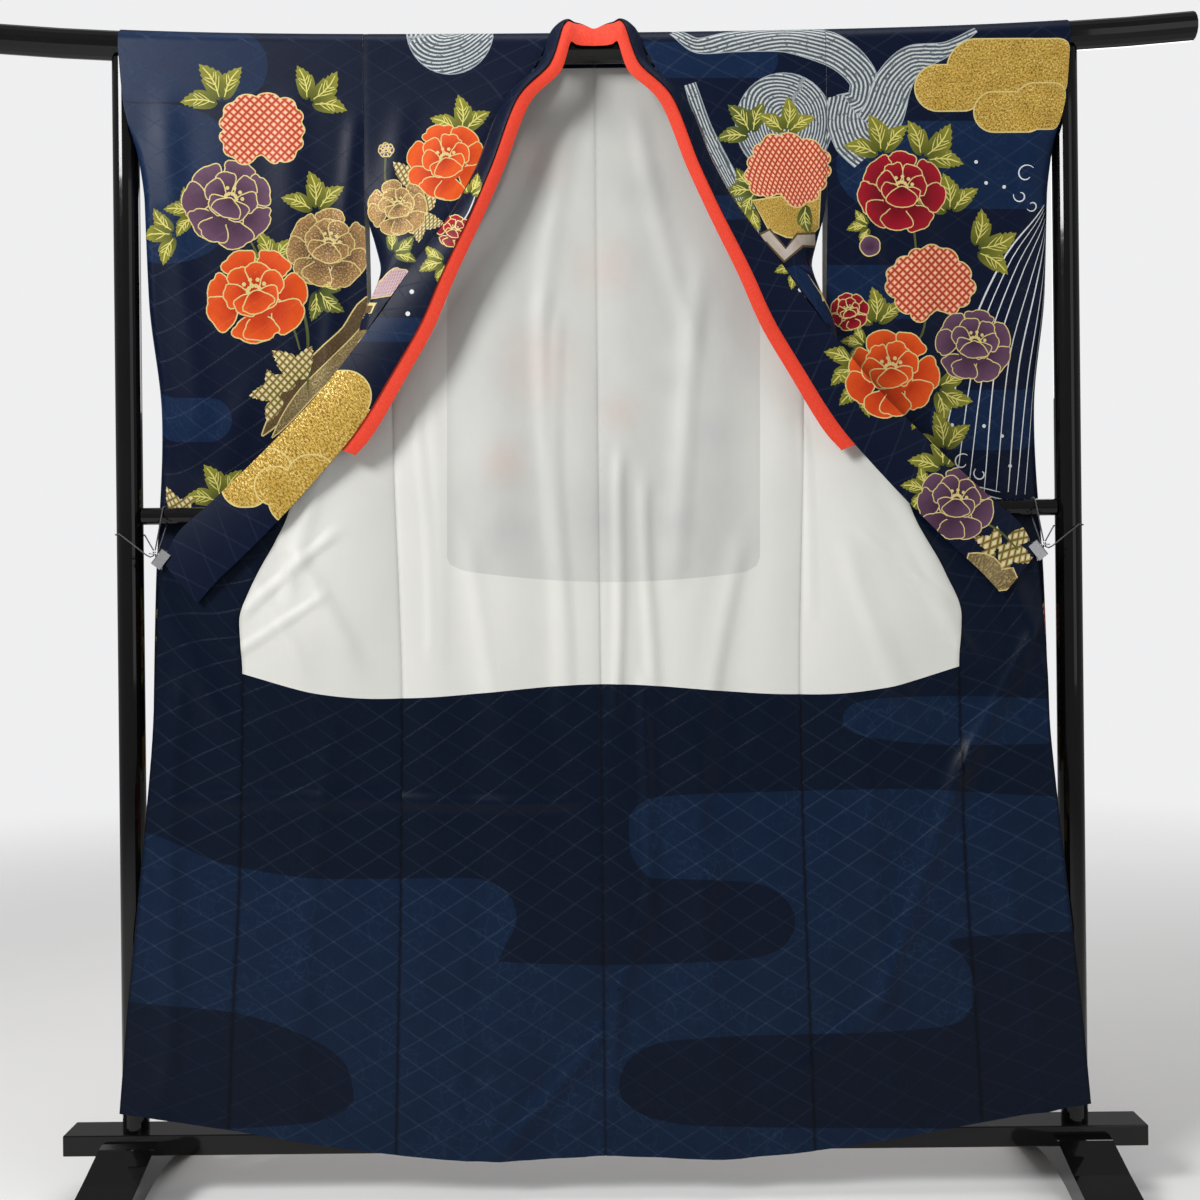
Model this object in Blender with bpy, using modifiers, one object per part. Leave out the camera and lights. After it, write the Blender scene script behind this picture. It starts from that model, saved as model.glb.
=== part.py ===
"""Furisode spread open on a lacquered kimono stand.

Metres, +Z up, +X the viewer's right, +Y away from the viewer. The origin is on
the floor under the middle of the stand. One half is described for +x and the
other half is its mirror.
"""
import math

import bmesh
import bpy
import numpy as np

# Cloth and gaps
CLOTH = 0.0012          # wall of the outer cloth
LINING = 0.0010         # wall of the linings
LAYER = 0.0016          # outer cloth's middle surface to the lining's
SEAM = 0.0005           # between the pieces at a seam
BAND = 0.0030           # folded collar band

# Stand
RAIL_R = 0.021
RAIL_END = 0.88
RAIL_Z = 1.680
POST_X = 0.690
POST_R = 0.019
BAR_Z = 1.000
BAR_R = 0.0125
BOARD_END = 0.788
BOARD_HALF = 0.028
BOARD_LOW = 0.070
BOARD_TOP = 0.100
FOOT_WIDE = 0.080
FOLD_R = RAIL_R + 0.0008 + CLOTH / 2

# Side edge of the body panels: height, half width
SIDE = (
    (1.700, 0.3365), (1.480, 0.3365), (1.440, 0.3340), (1.385, 0.3210),
    (1.330, 0.3105), (1.270, 0.3060), (1.200, 0.3030), (1.040, 0.2980),
    (0.860, 0.2920), (0.730, 0.2895), (0.450, 0.2935), (0.250, 0.2985),
    (0.060, 0.3035),
)

# Depth of the back panels: height, y
BACK_DEPTH = (
    (1.700, 0.0222), (1.640, 0.0215), (1.500, 0.0150), (1.330, 0.0050),
    (1.150, -0.0065), (1.040, -0.0152), (0.970, -0.0160), (0.600, -0.0215),
    (0.300, -0.0280), (0.120, -0.0315), (0.050, -0.0318),
)

# Front, from the shoulder down. Height of the side edge, then mid panel, the
# overlap panel's seam and the collar or front edge, each as x, y, z.
FRONT = (
    # side z   mid x    mid y    mid z    seam x   seam y   seam z   edge x   edge y   edge z
    (1.6400, 0.2150, -0.0235, 1.6400, 0.0900, -0.0262, 1.6400, 0.0860, -0.0262, 1.6400),
    (1.5800, 0.2380, -0.0250, 1.5780, 0.1410, -0.0300, 1.5780, 0.1370, -0.0300, 1.5780),
    (1.5000, 0.2520, -0.0300, 1.4950, 0.1740, -0.0340, 1.4960, 0.1700, -0.0340, 1.4960),
    (1.4500, 0.2670, -0.0340, 1.4430, 0.2030, -0.0370, 1.4430, 0.1985, -0.0370, 1.4430),
    (1.3900, 0.2900, -0.0350, 1.3820, 0.2440, -0.0395, 1.3840, 0.2380, -0.0400, 1.3860),
    (1.3350, 0.3180, -0.0310, 1.3270, 0.2840, -0.0410, 1.3290, 0.2780, -0.0425, 1.3300),
    (1.2700, 0.3450, -0.0290, 1.2620, 0.3270, -0.0425, 1.2680, 0.3220, -0.0435, 1.2700),
    (1.2000, 0.3540, -0.0280, 1.1840, 0.3685, -0.0425, 1.1975, 0.3740, -0.0450, 1.2020),
    (1.1200, 0.3760, -0.0300, 1.0930, 0.4200, -0.0400, 1.0930, 0.4470, -0.0470, 1.1200),
    (1.0400, 0.3860, -0.0350, 0.9980, 0.4530, -0.0380, 0.9880, 0.5270, -0.0480, 1.0430),
    (0.9500, 0.4000, -0.0390, 0.9080, 0.4960, -0.0390, 0.9080, 0.6000, -0.0480, 0.9750),
    (0.8600, 0.4080, -0.0420, 0.8340, 0.5200, -0.0410, 0.8420, 0.6270, -0.0465, 0.9280),
    (0.7300, 0.4050, -0.0370, 0.7380, 0.5165, -0.0400, 0.7690, 0.6400, -0.0440, 0.8050),
    (0.6300, 0.4050, -0.0330, 0.6400, 0.5180, -0.0385, 0.6650, 0.6460, -0.0430, 0.6850),
    (0.4500, 0.4080, -0.0340, 0.4560, 0.5240, -0.0385, 0.4700, 0.6660, -0.0430, 0.4800),
    (0.2500, 0.4150, -0.0350, 0.2620, 0.5350, -0.0385, 0.2800, 0.6860, -0.0420, 0.2950),
    (0.0700, 0.4200, -0.0350, 0.0880, 0.5430, -0.0385, 0.1110, 0.7000, -0.0410, 0.1370),
)
OVERLAP_TOP = 7.0       # row of FRONT where the overlap panel begins
OPEN_OUT = 6.5          # row where the lining begins to show
NAVY_ROW = 12.0         # row where ivory lining meets the navy one
LAST_ROW = 16.0

# Collar band from its end to the nape: seam edge, middle and free edge
COLLAR = (
    # seam x   seam y   seam z   mid x    mid y    mid z    free x   free y   free z
    (0.6260, -0.0508, 0.9320, 0.6020, -0.0535, 0.9010, 0.5770, -0.0525, 0.8710),
    (0.6050, -0.0520, 0.9710, 0.5770, -0.0550, 0.9370, 0.5480, -0.0540, 0.9030),
    (0.5550, -0.0520, 1.0170, 0.5250, -0.0555, 0.9820, 0.4980, -0.0545, 0.9500),
    (0.4700, -0.0515, 1.0980, 0.4390, -0.0555, 1.0640, 0.4130, -0.0545, 1.0380),
    (0.4000, -0.0502, 1.1710, 0.3700, -0.0550, 1.1400, 0.3450, -0.0545, 1.1180),
    (0.3450, -0.0490, 1.2400, 0.3180, -0.0545, 1.2180, 0.2950, -0.0545, 1.1980),
    (0.3000, -0.0474, 1.3000, 0.2740, -0.0535, 1.2880, 0.2510, -0.0550, 1.2740),
    (0.2620, -0.0452, 1.3560, 0.2400, -0.0525, 1.3480, 0.2220, -0.0550, 1.3400),
    (0.2010, -0.0398, 1.4400, 0.1870, -0.0500, 1.4380, 0.1760, -0.0545, 1.4340),
    (0.1690, -0.0367, 1.5000, 0.1570, -0.0470, 1.4990, 0.1490, -0.0520, 1.4960),
    (0.1280, -0.0320, 1.6000, 0.1170, -0.0430, 1.5990, 0.1100, -0.0480, 1.5950),
    (0.0780, -0.0302, 1.6500, 0.0690, -0.0380, 1.6520, 0.0620, -0.0425, 1.6480),
    (0.0620, -0.0188, 1.6988, 0.0520, -0.0240, 1.7070, 0.0440, -0.0300, 1.7050),
    (0.0540, 0.0030, 1.7068, 0.0440, 0.0000, 1.7185, 0.0350, -0.0110, 1.7190),
    (0.0380, 0.0230, 1.6940, 0.0320, 0.0170, 1.7130, 0.0240, 0.0010, 1.7190),
    (0.0000, 0.0262, 1.6660, 0.0000, 0.0225, 1.6940, 0.0000, 0.0030, 1.7100),
)

# Red inner collar: row of COLLAR, the edge that shows as x, y, z, and the bulge
# of its middle out over the rail
INNER = (
    (3.63, 0.3490, -0.0500, 1.0810, 0.0010),
    (4.00, 0.3280, -0.0505, 1.1040, 0.0010),
    (5.00, 0.2775, -0.0505, 1.1870, 0.0010),
    (6.00, 0.2335, -0.0505, 1.2640, 0.0010),
    (7.00, 0.2045, -0.0500, 1.3320, 0.0010),
    (8.00, 0.1590, -0.0490, 1.4280, 0.0010),
    (9.00, 0.1310, -0.0465, 1.4920, 0.0010),
    (10.0, 0.0920, -0.0430, 1.5890, 0.0010),
    (11.0, 0.0470, -0.0395, 1.6360, 0.0015),
    (12.0, 0.0330, -0.0345, 1.6780, 0.0040),
    (13.0, 0.0260, -0.0335, 1.6740, 0.0080),
    (14.0, 0.0160, -0.0315, 1.6730, 0.0100),
    (15.0, 0.0000, -0.0300, 1.6730, 0.0100),
)

# Sleeve: height, inner edge, outer edge, front layer y, back layer y
SLEEVE = (
    (1.680, 0.3372, 0.6930, -0.0223, 0.0223),
    (1.600, 0.3372, 0.6860, -0.0226, 0.0226),
    (1.520, 0.3372, 0.6670, -0.0226, 0.0228),
    (1.460, 0.3370, 0.6620, -0.0215, 0.0235),
    (1.320, 0.3360, 0.6600, -0.0100, 0.0260),
    (1.150, 0.3370, 0.6460, 0.0050, 0.0285),
    (1.060, 0.3380, 0.6500, 0.0165, 0.0300),
    (0.900, 0.3400, 0.6600, 0.0170, 0.0305),
    (0.600, 0.3440, 0.6680, 0.0165, 0.0290),
)
SLEEVE_LOW = 0.600
SLEEVE_CORNER = 0.070

NAVY = (0.010, 0.018, 0.050)
NAVY_INNER = (0.012, 0.022, 0.058)
IVORY = (0.78, 0.76, 0.70)
RED = (0.72, 0.035, 0.020)
LACQUER = (0.006, 0.006, 0.007)
STEEL = (0.70, 0.70, 0.71)
CORD_BLACK = (0.010, 0.010, 0.011)


def clear_scene():
    for item in list(bpy.data.objects):
        bpy.data.objects.remove(item, do_unlink=True)


def make_material(name, colour, rough, metal):
    mat = bpy.data.materials.new(name)
    mat.use_nodes = True
    bsdf = mat.node_tree.nodes["Principled BSDF"]
    bsdf.inputs["Base Color"].default_value = (*colour, 1.0)
    bsdf.inputs["Roughness"].default_value = rough
    bsdf.inputs["Metallic"].default_value = metal
    mat.diffuse_color = (*colour, 1.0)
    return mat


def blend(keys, values, at):
    """Smooth curve through a table: cubic pieces with slopes from the neighbours."""
    keys = np.asarray(keys, float)
    values = np.asarray(values, float)
    at = np.asarray(at, float)
    steps = np.diff(keys)
    rise = np.diff(values, axis=0) / steps.reshape((-1,) + (1,) * (values.ndim - 1))
    slope = np.empty_like(values)
    slope[0] = rise[0]
    slope[-1] = rise[-1]
    same = rise[:-1] * rise[1:] > 0
    both = rise[:-1] + rise[1:]
    safe = np.where(same, both, 1.0)
    slope[1:-1] = np.where(same, 2 * rise[:-1] * rise[1:] / safe, 0.0)
    cell = np.clip(np.searchsorted(keys, at, side="right") - 1, 0, len(keys) - 2)
    shape = at.shape + (1,) * (values.ndim - 1)
    step = steps[cell].reshape(shape)
    f = ((at - keys[cell]) / steps[cell]).reshape(shape)
    f = np.clip(f, 0.0, 1.0)
    low = values[cell]
    high = values[cell + 1]
    return (low * (1 + 2 * f) * (1 - f) ** 2 + slope[cell] * step * f * (1 - f) ** 2
            + high * f * f * (3 - 2 * f) + slope[cell + 1] * step * f * f * (f - 1))


def column(table, index):
    return np.array([row[index] for row in table], float)


def by_height(table, index, z):
    """A column of a table whose first column is a falling height."""
    return blend(column(table, 0)[::-1], column(table, index)[::-1], z)


def rail_centre(x):
    return RAIL_Z + 0.012 * x ** 2 + 0.026 * x ** 4


def back_point(f, z):
    """Back panel: f runs from the centre seam to the side seam."""
    x = f * (by_height(SIDE, 1, z) - SEAM) + (1 - f) * SEAM / 2
    hang = np.clip((1.62 - z) / 0.5, 0.0, 1.0) * np.sin(np.pi * np.clip(f, 0, 1)) ** 0.5
    wave = 0.5 + 0.5 * np.sin(2 * np.pi * (2.3 * f + 0.12 * np.sin(3.0 * z)) + 0.6)
    y = by_height(BACK_DEPTH, 1, z) - 0.0045 * hang * wave
    return np.stack([x, y, z], axis=-1)


def front_points(t):
    """Side edge, mid panel, overlap seam and front edge at row t of FRONT."""
    rows = np.arange(len(FRONT), dtype=float)
    data = blend(rows, np.array(FRONT), t)
    side_z = data[..., 0]
    joined = np.clip((1.445 - side_z) / 0.145, 0.0, 1.0)
    joined = joined * joined * (3 - 2 * joined)
    side_y = (1 - joined) * -0.0222 + joined * by_height(BACK_DEPTH, 1, side_z)
    side = np.stack([by_height(SIDE, 1, side_z) + SEAM / 2, side_y, side_z], axis=-1)
    return side, data[..., 1:4], data[..., 4:7], data[..., 7:10]


def through(a, m, b, f):
    """Smooth arc through three points, m at the middle of f."""
    f = f[..., None]
    return (a * (1 - f) * (1 - 2 * f) + m * 4 * f * (1 - f) + b * f * (2 * f - 1))


def arc(points, share, low, high):
    """Smooth line through four points with their distances as its parameter.
    share runs 0 to 1 from point low to point high."""
    gaps = [np.linalg.norm(points[i + 1] - points[i], axis=-1) + 1e-6 for i in range(3)]
    slopes = [(points[i + 1] - points[i]) / gaps[i][..., None] for i in range(3)]
    ease = [None] * 4
    for i in (1, 2):
        before = gaps[i - 1][..., None]
        after = gaps[i][..., None]
        ease[i] = (slopes[i - 1] * after + slopes[i] * before) / (before + after)
    ease[0] = 2 * slopes[0] - ease[1]
    ease[3] = 2 * slopes[2] - ease[2]
    starts = [0 * gaps[0], gaps[0], gaps[0] + gaps[1], gaps[0] + gaps[1] + gaps[2]]
    along = starts[low] + share * (starts[high] - starts[low])
    out = np.zeros_like(points[0])
    for i in range(3):
        inside = (along >= starts[i]) & ((along < starts[i + 1]) | (i == 2))
        f = np.clip((along - starts[i]) / gaps[i], 0.0, 1.0)[..., None]
        size = gaps[i][..., None]
        piece = (points[i] * (1 + 2 * f) * (1 - f) ** 2 + ease[i] * size * f * (1 - f) ** 2
                 + points[i + 1] * f * f * (3 - 2 * f) + ease[i + 1] * size * f * f * (f - 1))
        out = np.where(inside[..., None], piece, out)
    return out


def front_point(f, t):
    """Front panel: f runs from the side seam to the overlap seam."""
    return arc(front_points(t), f, 0, 2)


def overlap_point(f, t):
    """Overlap panel: f runs from its seam to the front edge."""
    points = front_points(t)
    length = np.linalg.norm(points[3] - points[2], axis=-1) + 1e-6
    near = np.minimum(SEAM / length, 0.4)
    return arc(points, near + f * (1 - near), 2, 3)


def grid_normals(points):
    """Unit normals of a grid of points, along rows cross along columns."""
    down = np.gradient(points, axis=0)
    over = np.gradient(points, axis=1)
    normal = np.cross(over, down)
    return normal / np.linalg.norm(normal, axis=-1, keepdims=True)


def front_steps():
    """Rows of FRONT that every front piece is cut at, hem to shoulder."""
    return [16.0, 15.0, 14.0, 13.0] + list(np.arange(NAVY_ROW, 3.9, -0.5)) + [3.0, 2.0, 1.0, 0.0]


def body_rows(cols):
    """Whole body panel: front hem, shoulder fold, back hem. Also the row on top of
    the rail and the rows where linings begin and end."""
    f = np.linspace(0.0, 1.0, cols)
    parts = [front_point(f, np.full(cols, t)) for t in front_steps()]
    marks = {"navy_front": front_steps().index(NAVY_ROW), "open_out": front_steps().index(OPEN_OUT)}
    marks["ridge"] = len(parts) + 4
    for angle in np.linspace(-90.0, 84.0, 9):
        near = np.interp(angle, (-90.0, -55.0, 0.0, 55.0, 84.0), (0.0690, 0.0600, 0.0530, 0.0440, 0.0300))
        x = 0.3365 + (near - 0.3365) * f
        turn = math.radians(angle)
        y = np.full(cols, FOLD_R * math.sin(turn))
        z = rail_centre(x) + FOLD_R * math.cos(turn)
        parts.append(np.stack([x, y, z], axis=-1))
    centre = 1 - f
    marks["back_top"] = len(parts) + 1
    top = np.full(cols, 1.660)
    navy = navy_height(centre)
    falls = (0.0, 0.11, 0.22, 0.33, 0.37, 0.41, 0.45, 0.56, 0.67, 0.78, 0.89, 1.0)
    levels = [1.6720 + 0.006 * f ** 4] + [top + q * (navy - top) for q in falls]
    marks["navy_back"] = len(parts) + len(levels) - 1
    levels += [navy + q * (hem_height(centre) - navy) for q in np.linspace(0.0, 1.0, 7)[1:]]
    parts += [back_point(centre, z) for z in levels]
    return np.stack(parts), marks


def hem_height(f):
    """Back hem: centre, dip at mid panel, side seam."""
    return np.interp(f, (0.0, 0.35, 0.65, 1.0), (0.067, 0.061, 0.060, 0.070))


def navy_height(f):
    """Line where the ivory lining of the back meets the navy one."""
    f = np.asarray(f, float)
    return 0.7475 - 0.0175 * f * f * (3 - 2 * f)


def lining(points, first, last):
    """Rows first to last of a panel's points, moved to its inner side."""
    return (points + grid_normals(points) * LAYER)[first:last + 1]


def side_lining(points, first, last, raise_first, raise_last, shift):
    """Lining of a body panel, its side column set square beside the side seam."""
    layer = lining(points, first, last)
    layer[0, :, 2] += raise_first
    layer[-1, :, 2] += raise_last
    layer[:, 0, 0] = points[first:last + 1, 0, 0] + shift
    layer[:, 0, 1] = points[first:last + 1, 0, 1] - LAYER
    return layer


def shell(name, points, wall, colour, rough, collection):
    """Open sheet of quads from a grid of points, thickened both ways."""
    rows, cols = points.shape[:2]
    verts = [tuple(p) for p in points.reshape(-1, 3)]
    faces = []
    for i in range(rows - 1):
        for j in range(cols - 1):
            a = i * cols + j
            faces.append((a, a + 1, a + cols + 1, a + cols))
    return sheet(name, verts, faces, wall, colour, rough, collection)


def sheet(name, verts, faces, wall, colour, rough, collection):
    mesh = bpy.data.meshes.new(name)
    mesh.from_pydata(verts, [], faces)
    bm = bmesh.new()
    bm.from_mesh(mesh)
    bmesh.ops.recalc_face_normals(bm, faces=bm.faces)
    bm.to_mesh(mesh)
    bm.free()
    obj = bpy.data.objects.new(name, mesh)
    collection.objects.link(obj)
    solid = obj.modifiers.new("wall", "SOLIDIFY")
    solid.thickness = wall
    solid.offset = 0.0
    solid.use_even_offset = True
    solid.use_rim = True
    mesh.materials.append(make_material(name, colour, rough, 0.0))
    return obj


def mirrored(points, side):
    out = points.copy()
    out[..., 0] *= side
    return out


def both_sides(rows):
    """Rows of the right half, end to nape, carried on to the left end."""
    return np.concatenate([rows, rows[-2::-1] * np.array([-1.0, 1.0, 1.0])])


def band_points(row, f):
    """Collar band: f runs from the seam edge to the free edge."""
    data = blend(np.arange(len(COLLAR), dtype=float), np.array(COLLAR), row)
    return through(data[..., 0:3], data[..., 3:6], data[..., 6:9], f)


def collar_rows(steps, cols):
    row = np.linspace(0.0, len(COLLAR) - 1.0, steps)
    f, row = np.meshgrid(np.linspace(0.0, 1.0, cols), row)
    return both_sides(band_points(row, f))


def inner_rows():
    """Inner collar: two lines behind the band, then out past its free edge."""
    row = np.concatenate([[INNER[0][0]], np.arange(4.0, len(COLLAR) - 0.9, 0.5)])
    f, rows = np.meshgrid(np.linspace(0.0, 1.0, 6), row)
    band = band_points(rows, f)
    normal = grid_normals(band)
    normal[-1, :, 0] = 0.0
    step = BAND / 2 + 0.0007 + LINING / 2
    behind = band + normal * step
    ahead = band[:, 5] - band[:, 4]
    ahead = ahead / np.linalg.norm(ahead, axis=-1, keepdims=True)
    clear = behind[:, 5] + ahead * 0.0012
    table = np.array(INNER)
    shown = blend(table[:, 0], table[:, 1:4], row)
    bulge = blend(table[:, 0], table[:, 4], row)[:, None]
    middle = 0.5 * (clear + shown) + bulge * np.array([0.0, -0.7, 0.7])
    columns = [behind[:, 3], behind[:, 4], clear]
    columns += [through(clear, middle, shown, np.full(len(row), q)) for q in (0.5, 1.0)]
    return both_sides(np.stack(columns, axis=1))


def sleeve_depth(z, edge, low):
    """Front and back layer depths, closing in a soft fold at shut edges."""
    front = by_height(SLEEVE, 3, z)
    back = by_height(SLEEVE, 4, z)
    middle = 0.5 * (front + back)
    half = 0.5 * (back - front)
    close = np.minimum(edge, low)
    f = 1 - np.clip(close / 0.014, 0.0, 1.0)
    half = half * np.sqrt(np.clip(1 - f ** 2, 0.0, 1.0))
    return middle - half, middle + half


def make_sleeve(name, side, collection):
    """Sleeve bag: front and back layers joined over the rail, at the foot and
    along the outer edge below the wrist opening."""
    spread = (0.0, 0.14, 0.28, 0.42, 0.56, 0.70, 0.83, 0.93, 0.983, 1.0)
    heights = (0.0, 0.004, 0.015, 0.11, 0.23, 0.345, 0.405, 0.50, 0.59, 0.68, 0.775, 0.88, 1.0)
    cols = len(spread)
    rows = len(heights)
    shut_row = heights.index(0.775)
    f = np.array(spread)
    corner = np.clip((f - 0.80) / 0.20, 0.0, 1.0)
    bottom = SLEEVE_LOW + SLEEVE_CORNER * (1 - np.sqrt(1 - corner ** 2))
    verts = []
    front = {}
    back = {}
    for i, q in enumerate(heights):
        for j in range(cols):
            top = rail_centre(0.337 + 0.356 * f[j])
            z = bottom[j] + q * (top - bottom[j])
            inner = float(by_height(SLEEVE, 1, z))
            outer = float(by_height(SLEEVE, 2, z))
            x = inner + (outer - inner) * f[j]
            edge = (1 - f[j]) * (outer - inner) if i <= shut_row else 1.0
            low = z - bottom[j]
            y_front, y_back = sleeve_depth(np.float64(z), edge, low)
            wave = 0.0030 * math.sin(math.pi * min(q * 1.6, 1.0)) * math.sin(9.0 * f[j] + 0.7)
            fade = min(edge, low, 0.05) / 0.05 * min(abs(z - BAR_Z) / 0.15, 1.0)
            front[i, j] = len(verts)
            if i == 0 or (j == cols - 1 and i <= shut_row):
                back[i, j] = len(verts)
                verts.append((side * x, 0.5 * (y_front + y_back), z))
                continue
            verts.append((side * x, y_front - wave * fade * (q < 0.78), z))
            back[i, j] = len(verts)
            verts.append((side * x, y_back + 0.4 * wave * fade, z))
    faces = []
    for i in range(rows - 1):
        for j in range(cols - 1):
            faces.append((front[i, j], front[i, j + 1], front[i + 1, j + 1], front[i + 1, j]))
            faces.append((back[i, j], back[i + 1, j], back[i + 1, j + 1], back[i, j + 1]))
    last = [front[rows - 1, j] for j in range(cols)]
    for angle in np.linspace(-67.5, 90.0, 8):
        turn = math.radians(angle)
        fresh = []
        for j in range(cols):
            x = 0.3372 + 0.3558 * f[j]
            if angle == 90.0:
                fresh.append(back[rows - 1, j])
                continue
            fresh.append(len(verts))
            verts.append((side * x, FOLD_R * math.sin(turn), rail_centre(x) + FOLD_R * math.cos(turn)))
        for j in range(cols - 1):
            faces.append((last[j], last[j + 1], fresh[j + 1], fresh[j]))
        last = fresh
    return sheet(name, verts, faces, CLOTH, NAVY, 0.5, collection)


def make_body(tag, side, collection):
    points, marks = body_rows(8)
    ridge = marks["ridge"]
    back = points[ridge:].copy()
    ahead = back[1] - back[0]
    back[0] += ahead * (SEAM / np.linalg.norm(ahead, axis=-1, keepdims=True))
    shell("front_" + tag, mirrored(points[:ridge + 1], side), CLOTH, NAVY, 0.5, collection)
    shell("back_" + tag, mirrored(back, side), CLOTH, NAVY, 0.5, collection)
    half = 0.0003
    pieces = (
        ("hem_front_", 0, marks["navy_front"], 0.0, -half, NAVY_INNER),
        ("lining_front_", marks["navy_front"], marks["open_out"], half, 0.0, IVORY),
        ("lining_back_", marks["back_top"], marks["navy_back"], 0.0, half, IVORY),
        ("hem_back_", marks["navy_back"], len(points) - 1, -half, 0.0, NAVY_INNER),
    )
    for name, first, last, up_first, up_last, colour in pieces:
        shift = 0.0010 if "front" in name else -0.0016
        layer = side_lining(points, first, last, up_first, up_last, shift)
        shell(name + tag, mirrored(layer, side), LINING, colour, 0.5, collection)


def make_overlap(tag, side, collection):
    steps = [t for t in front_steps() if t >= OVERLAP_TOP]
    f = np.linspace(0.0, 1.0, 5)
    points = np.stack([overlap_point(f, np.full(5, t)) for t in steps])
    shell("okumi_" + tag, mirrored(points, side), CLOTH, NAVY, 0.5, collection)
    layer = lining(points, 0, steps.index(OVERLAP_TOP + 0.5))
    shell("hem_okumi_" + tag, mirrored(layer, side), LINING, NAVY_INNER, 0.6, collection)


def tube(name, path, radius, closed, colour, rough, metal, collection, round_steps=2):
    curve = bpy.data.curves.new(name, "CURVE")
    curve.dimensions = "3D"
    spline = curve.splines.new("POLY")
    spline.points.add(len(path) - 1)
    for point, place in zip(spline.points, path):
        point.co = (*place, 1.0)
    spline.use_cyclic_u = closed
    curve.bevel_depth = radius
    curve.bevel_resolution = round_steps
    curve.use_fill_caps = not closed
    obj = bpy.data.objects.new(name, curve)
    collection.objects.link(obj)
    curve.materials.append(make_material(name, colour, rough, metal))
    return obj


def post(name, x, collection):
    low = BOARD_TOP + 0.0004
    high = float(rail_centre(POST_X)) - RAIL_R - 0.0007
    bpy.ops.mesh.primitive_cylinder_add(vertices=28, radius=POST_R, depth=high - low,
                                        location=(x, 0.0, 0.5 * (low + high)))
    obj = finish(name, LACQUER, 0.16, 0.0, collection)
    middle = 0.5 * (low + high)
    for vert in obj.data.vertices:
        if vert.co.z > 0:
            vert.co.z = float(rail_centre(x + vert.co.x)) - RAIL_R - 0.0004 - middle


def finish(name, colour, rough, metal, collection):
    obj = bpy.context.active_object
    obj.name = name
    obj.data.name = name
    obj.data.materials.clear()
    obj.data.materials.append(make_material(name, colour, rough, metal))
    for owner in list(obj.users_collection):
        owner.objects.unlink(obj)
    collection.objects.link(obj)
    return obj


def box(name, size, place, edge, colour, rough, collection):
    bpy.ops.mesh.primitive_cube_add(size=1.0, location=place)
    bpy.context.active_object.scale = size
    bpy.ops.object.transform_apply(location=False, rotation=False, scale=True)
    obj = finish(name, colour, rough, 0.0, collection)
    bevel = obj.modifiers.new("edge", "BEVEL")
    bevel.width = edge
    bevel.segments = 2
    return obj


def foot(name, x, collection):
    """Arched foot: side outline in y and z, extruded across its width."""
    top = ((0.240, 0.0050), (0.236, 0.0120), (0.205, 0.0300), (0.160, 0.0470), (0.110, 0.0620),
           (0.070, 0.0760), (0.045, 0.0850), (BOARD_HALF + 0.0004, 0.0880),
           (BOARD_HALF + 0.0004, BOARD_LOW - 0.0004))
    arch = ((0.165, 0.0), (0.150, 0.0100), (0.120, 0.0220), (0.080, 0.0330), (0.040, 0.0400),
            (0.0, 0.0420))
    outline = list(top) + [(-y, z) for y, z in reversed(top)]
    outline += [(-0.238, 0.0)] + [(-y, z) for y, z in arch]
    outline += [(y, z) for y, z in reversed(arch[:-1])] + [(0.238, 0.0)]
    curve = bpy.data.curves.new(name, "CURVE")
    curve.dimensions = "2D"
    curve.fill_mode = "BOTH"
    curve.extrude = FOOT_WIDE / 2
    spline = curve.splines.new("POLY")
    spline.points.add(len(outline) - 1)
    for point, (y, z) in zip(spline.points, outline):
        point.co = (y, z, 0.0, 1.0)
    spline.use_cyclic_u = True
    obj = bpy.data.objects.new(name, curve)
    obj.location = (x, 0.0, 0.0)
    obj.rotation_euler = (math.pi / 2, 0.0, math.pi / 2)
    collection.objects.link(obj)
    curve.materials.append(make_material(name, LACQUER, 0.16, 0.0))


def make_stand(collection):
    path = [(x, 0.0, float(rail_centre(x))) for x in np.linspace(-RAIL_END, RAIL_END, 19)]
    tube("rail", path, RAIL_R, False, LACQUER, 0.16, 0.0, collection, 6)
    bpy.ops.mesh.primitive_cylinder_add(vertices=24, radius=BAR_R,
                                        depth=2 * (POST_X - POST_R - 0.0006),
                                        location=(0.0, 0.0, BAR_Z),
                                        rotation=(0.0, math.pi / 2, 0.0))
    bpy.ops.object.transform_apply(location=False, rotation=True, scale=False)
    finish("crossbar", LACQUER, 0.16, 0.0, collection)
    box("base_board", (2 * BOARD_END, 2 * BOARD_HALF, BOARD_TOP - BOARD_LOW),
        (0.0, 0.0, 0.5 * (BOARD_TOP + BOARD_LOW)), 0.0015, LACQUER, 0.16, collection)
    for tag, side in (("L", -1), ("R", 1)):
        post("post_" + tag, side * POST_X, collection)
        foot("foot_" + tag, side * POST_X, collection)


# Clip at the collar end: a folded plate round the corner, with a ring
CLIP_AT = (0.6330, -0.0490, 0.9385)
CLIP_TURN = math.radians(-38.0)
CLIP_SLOT = 0.0115
CLIP_PLATE = 0.0008
CLIP_LONG = 0.026
CLIP_BITE = 0.014
RING_AT = (0.6389, -0.0490, 0.9431)
RING_R = 0.0068
RING_WIRE = 0.0009


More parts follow.
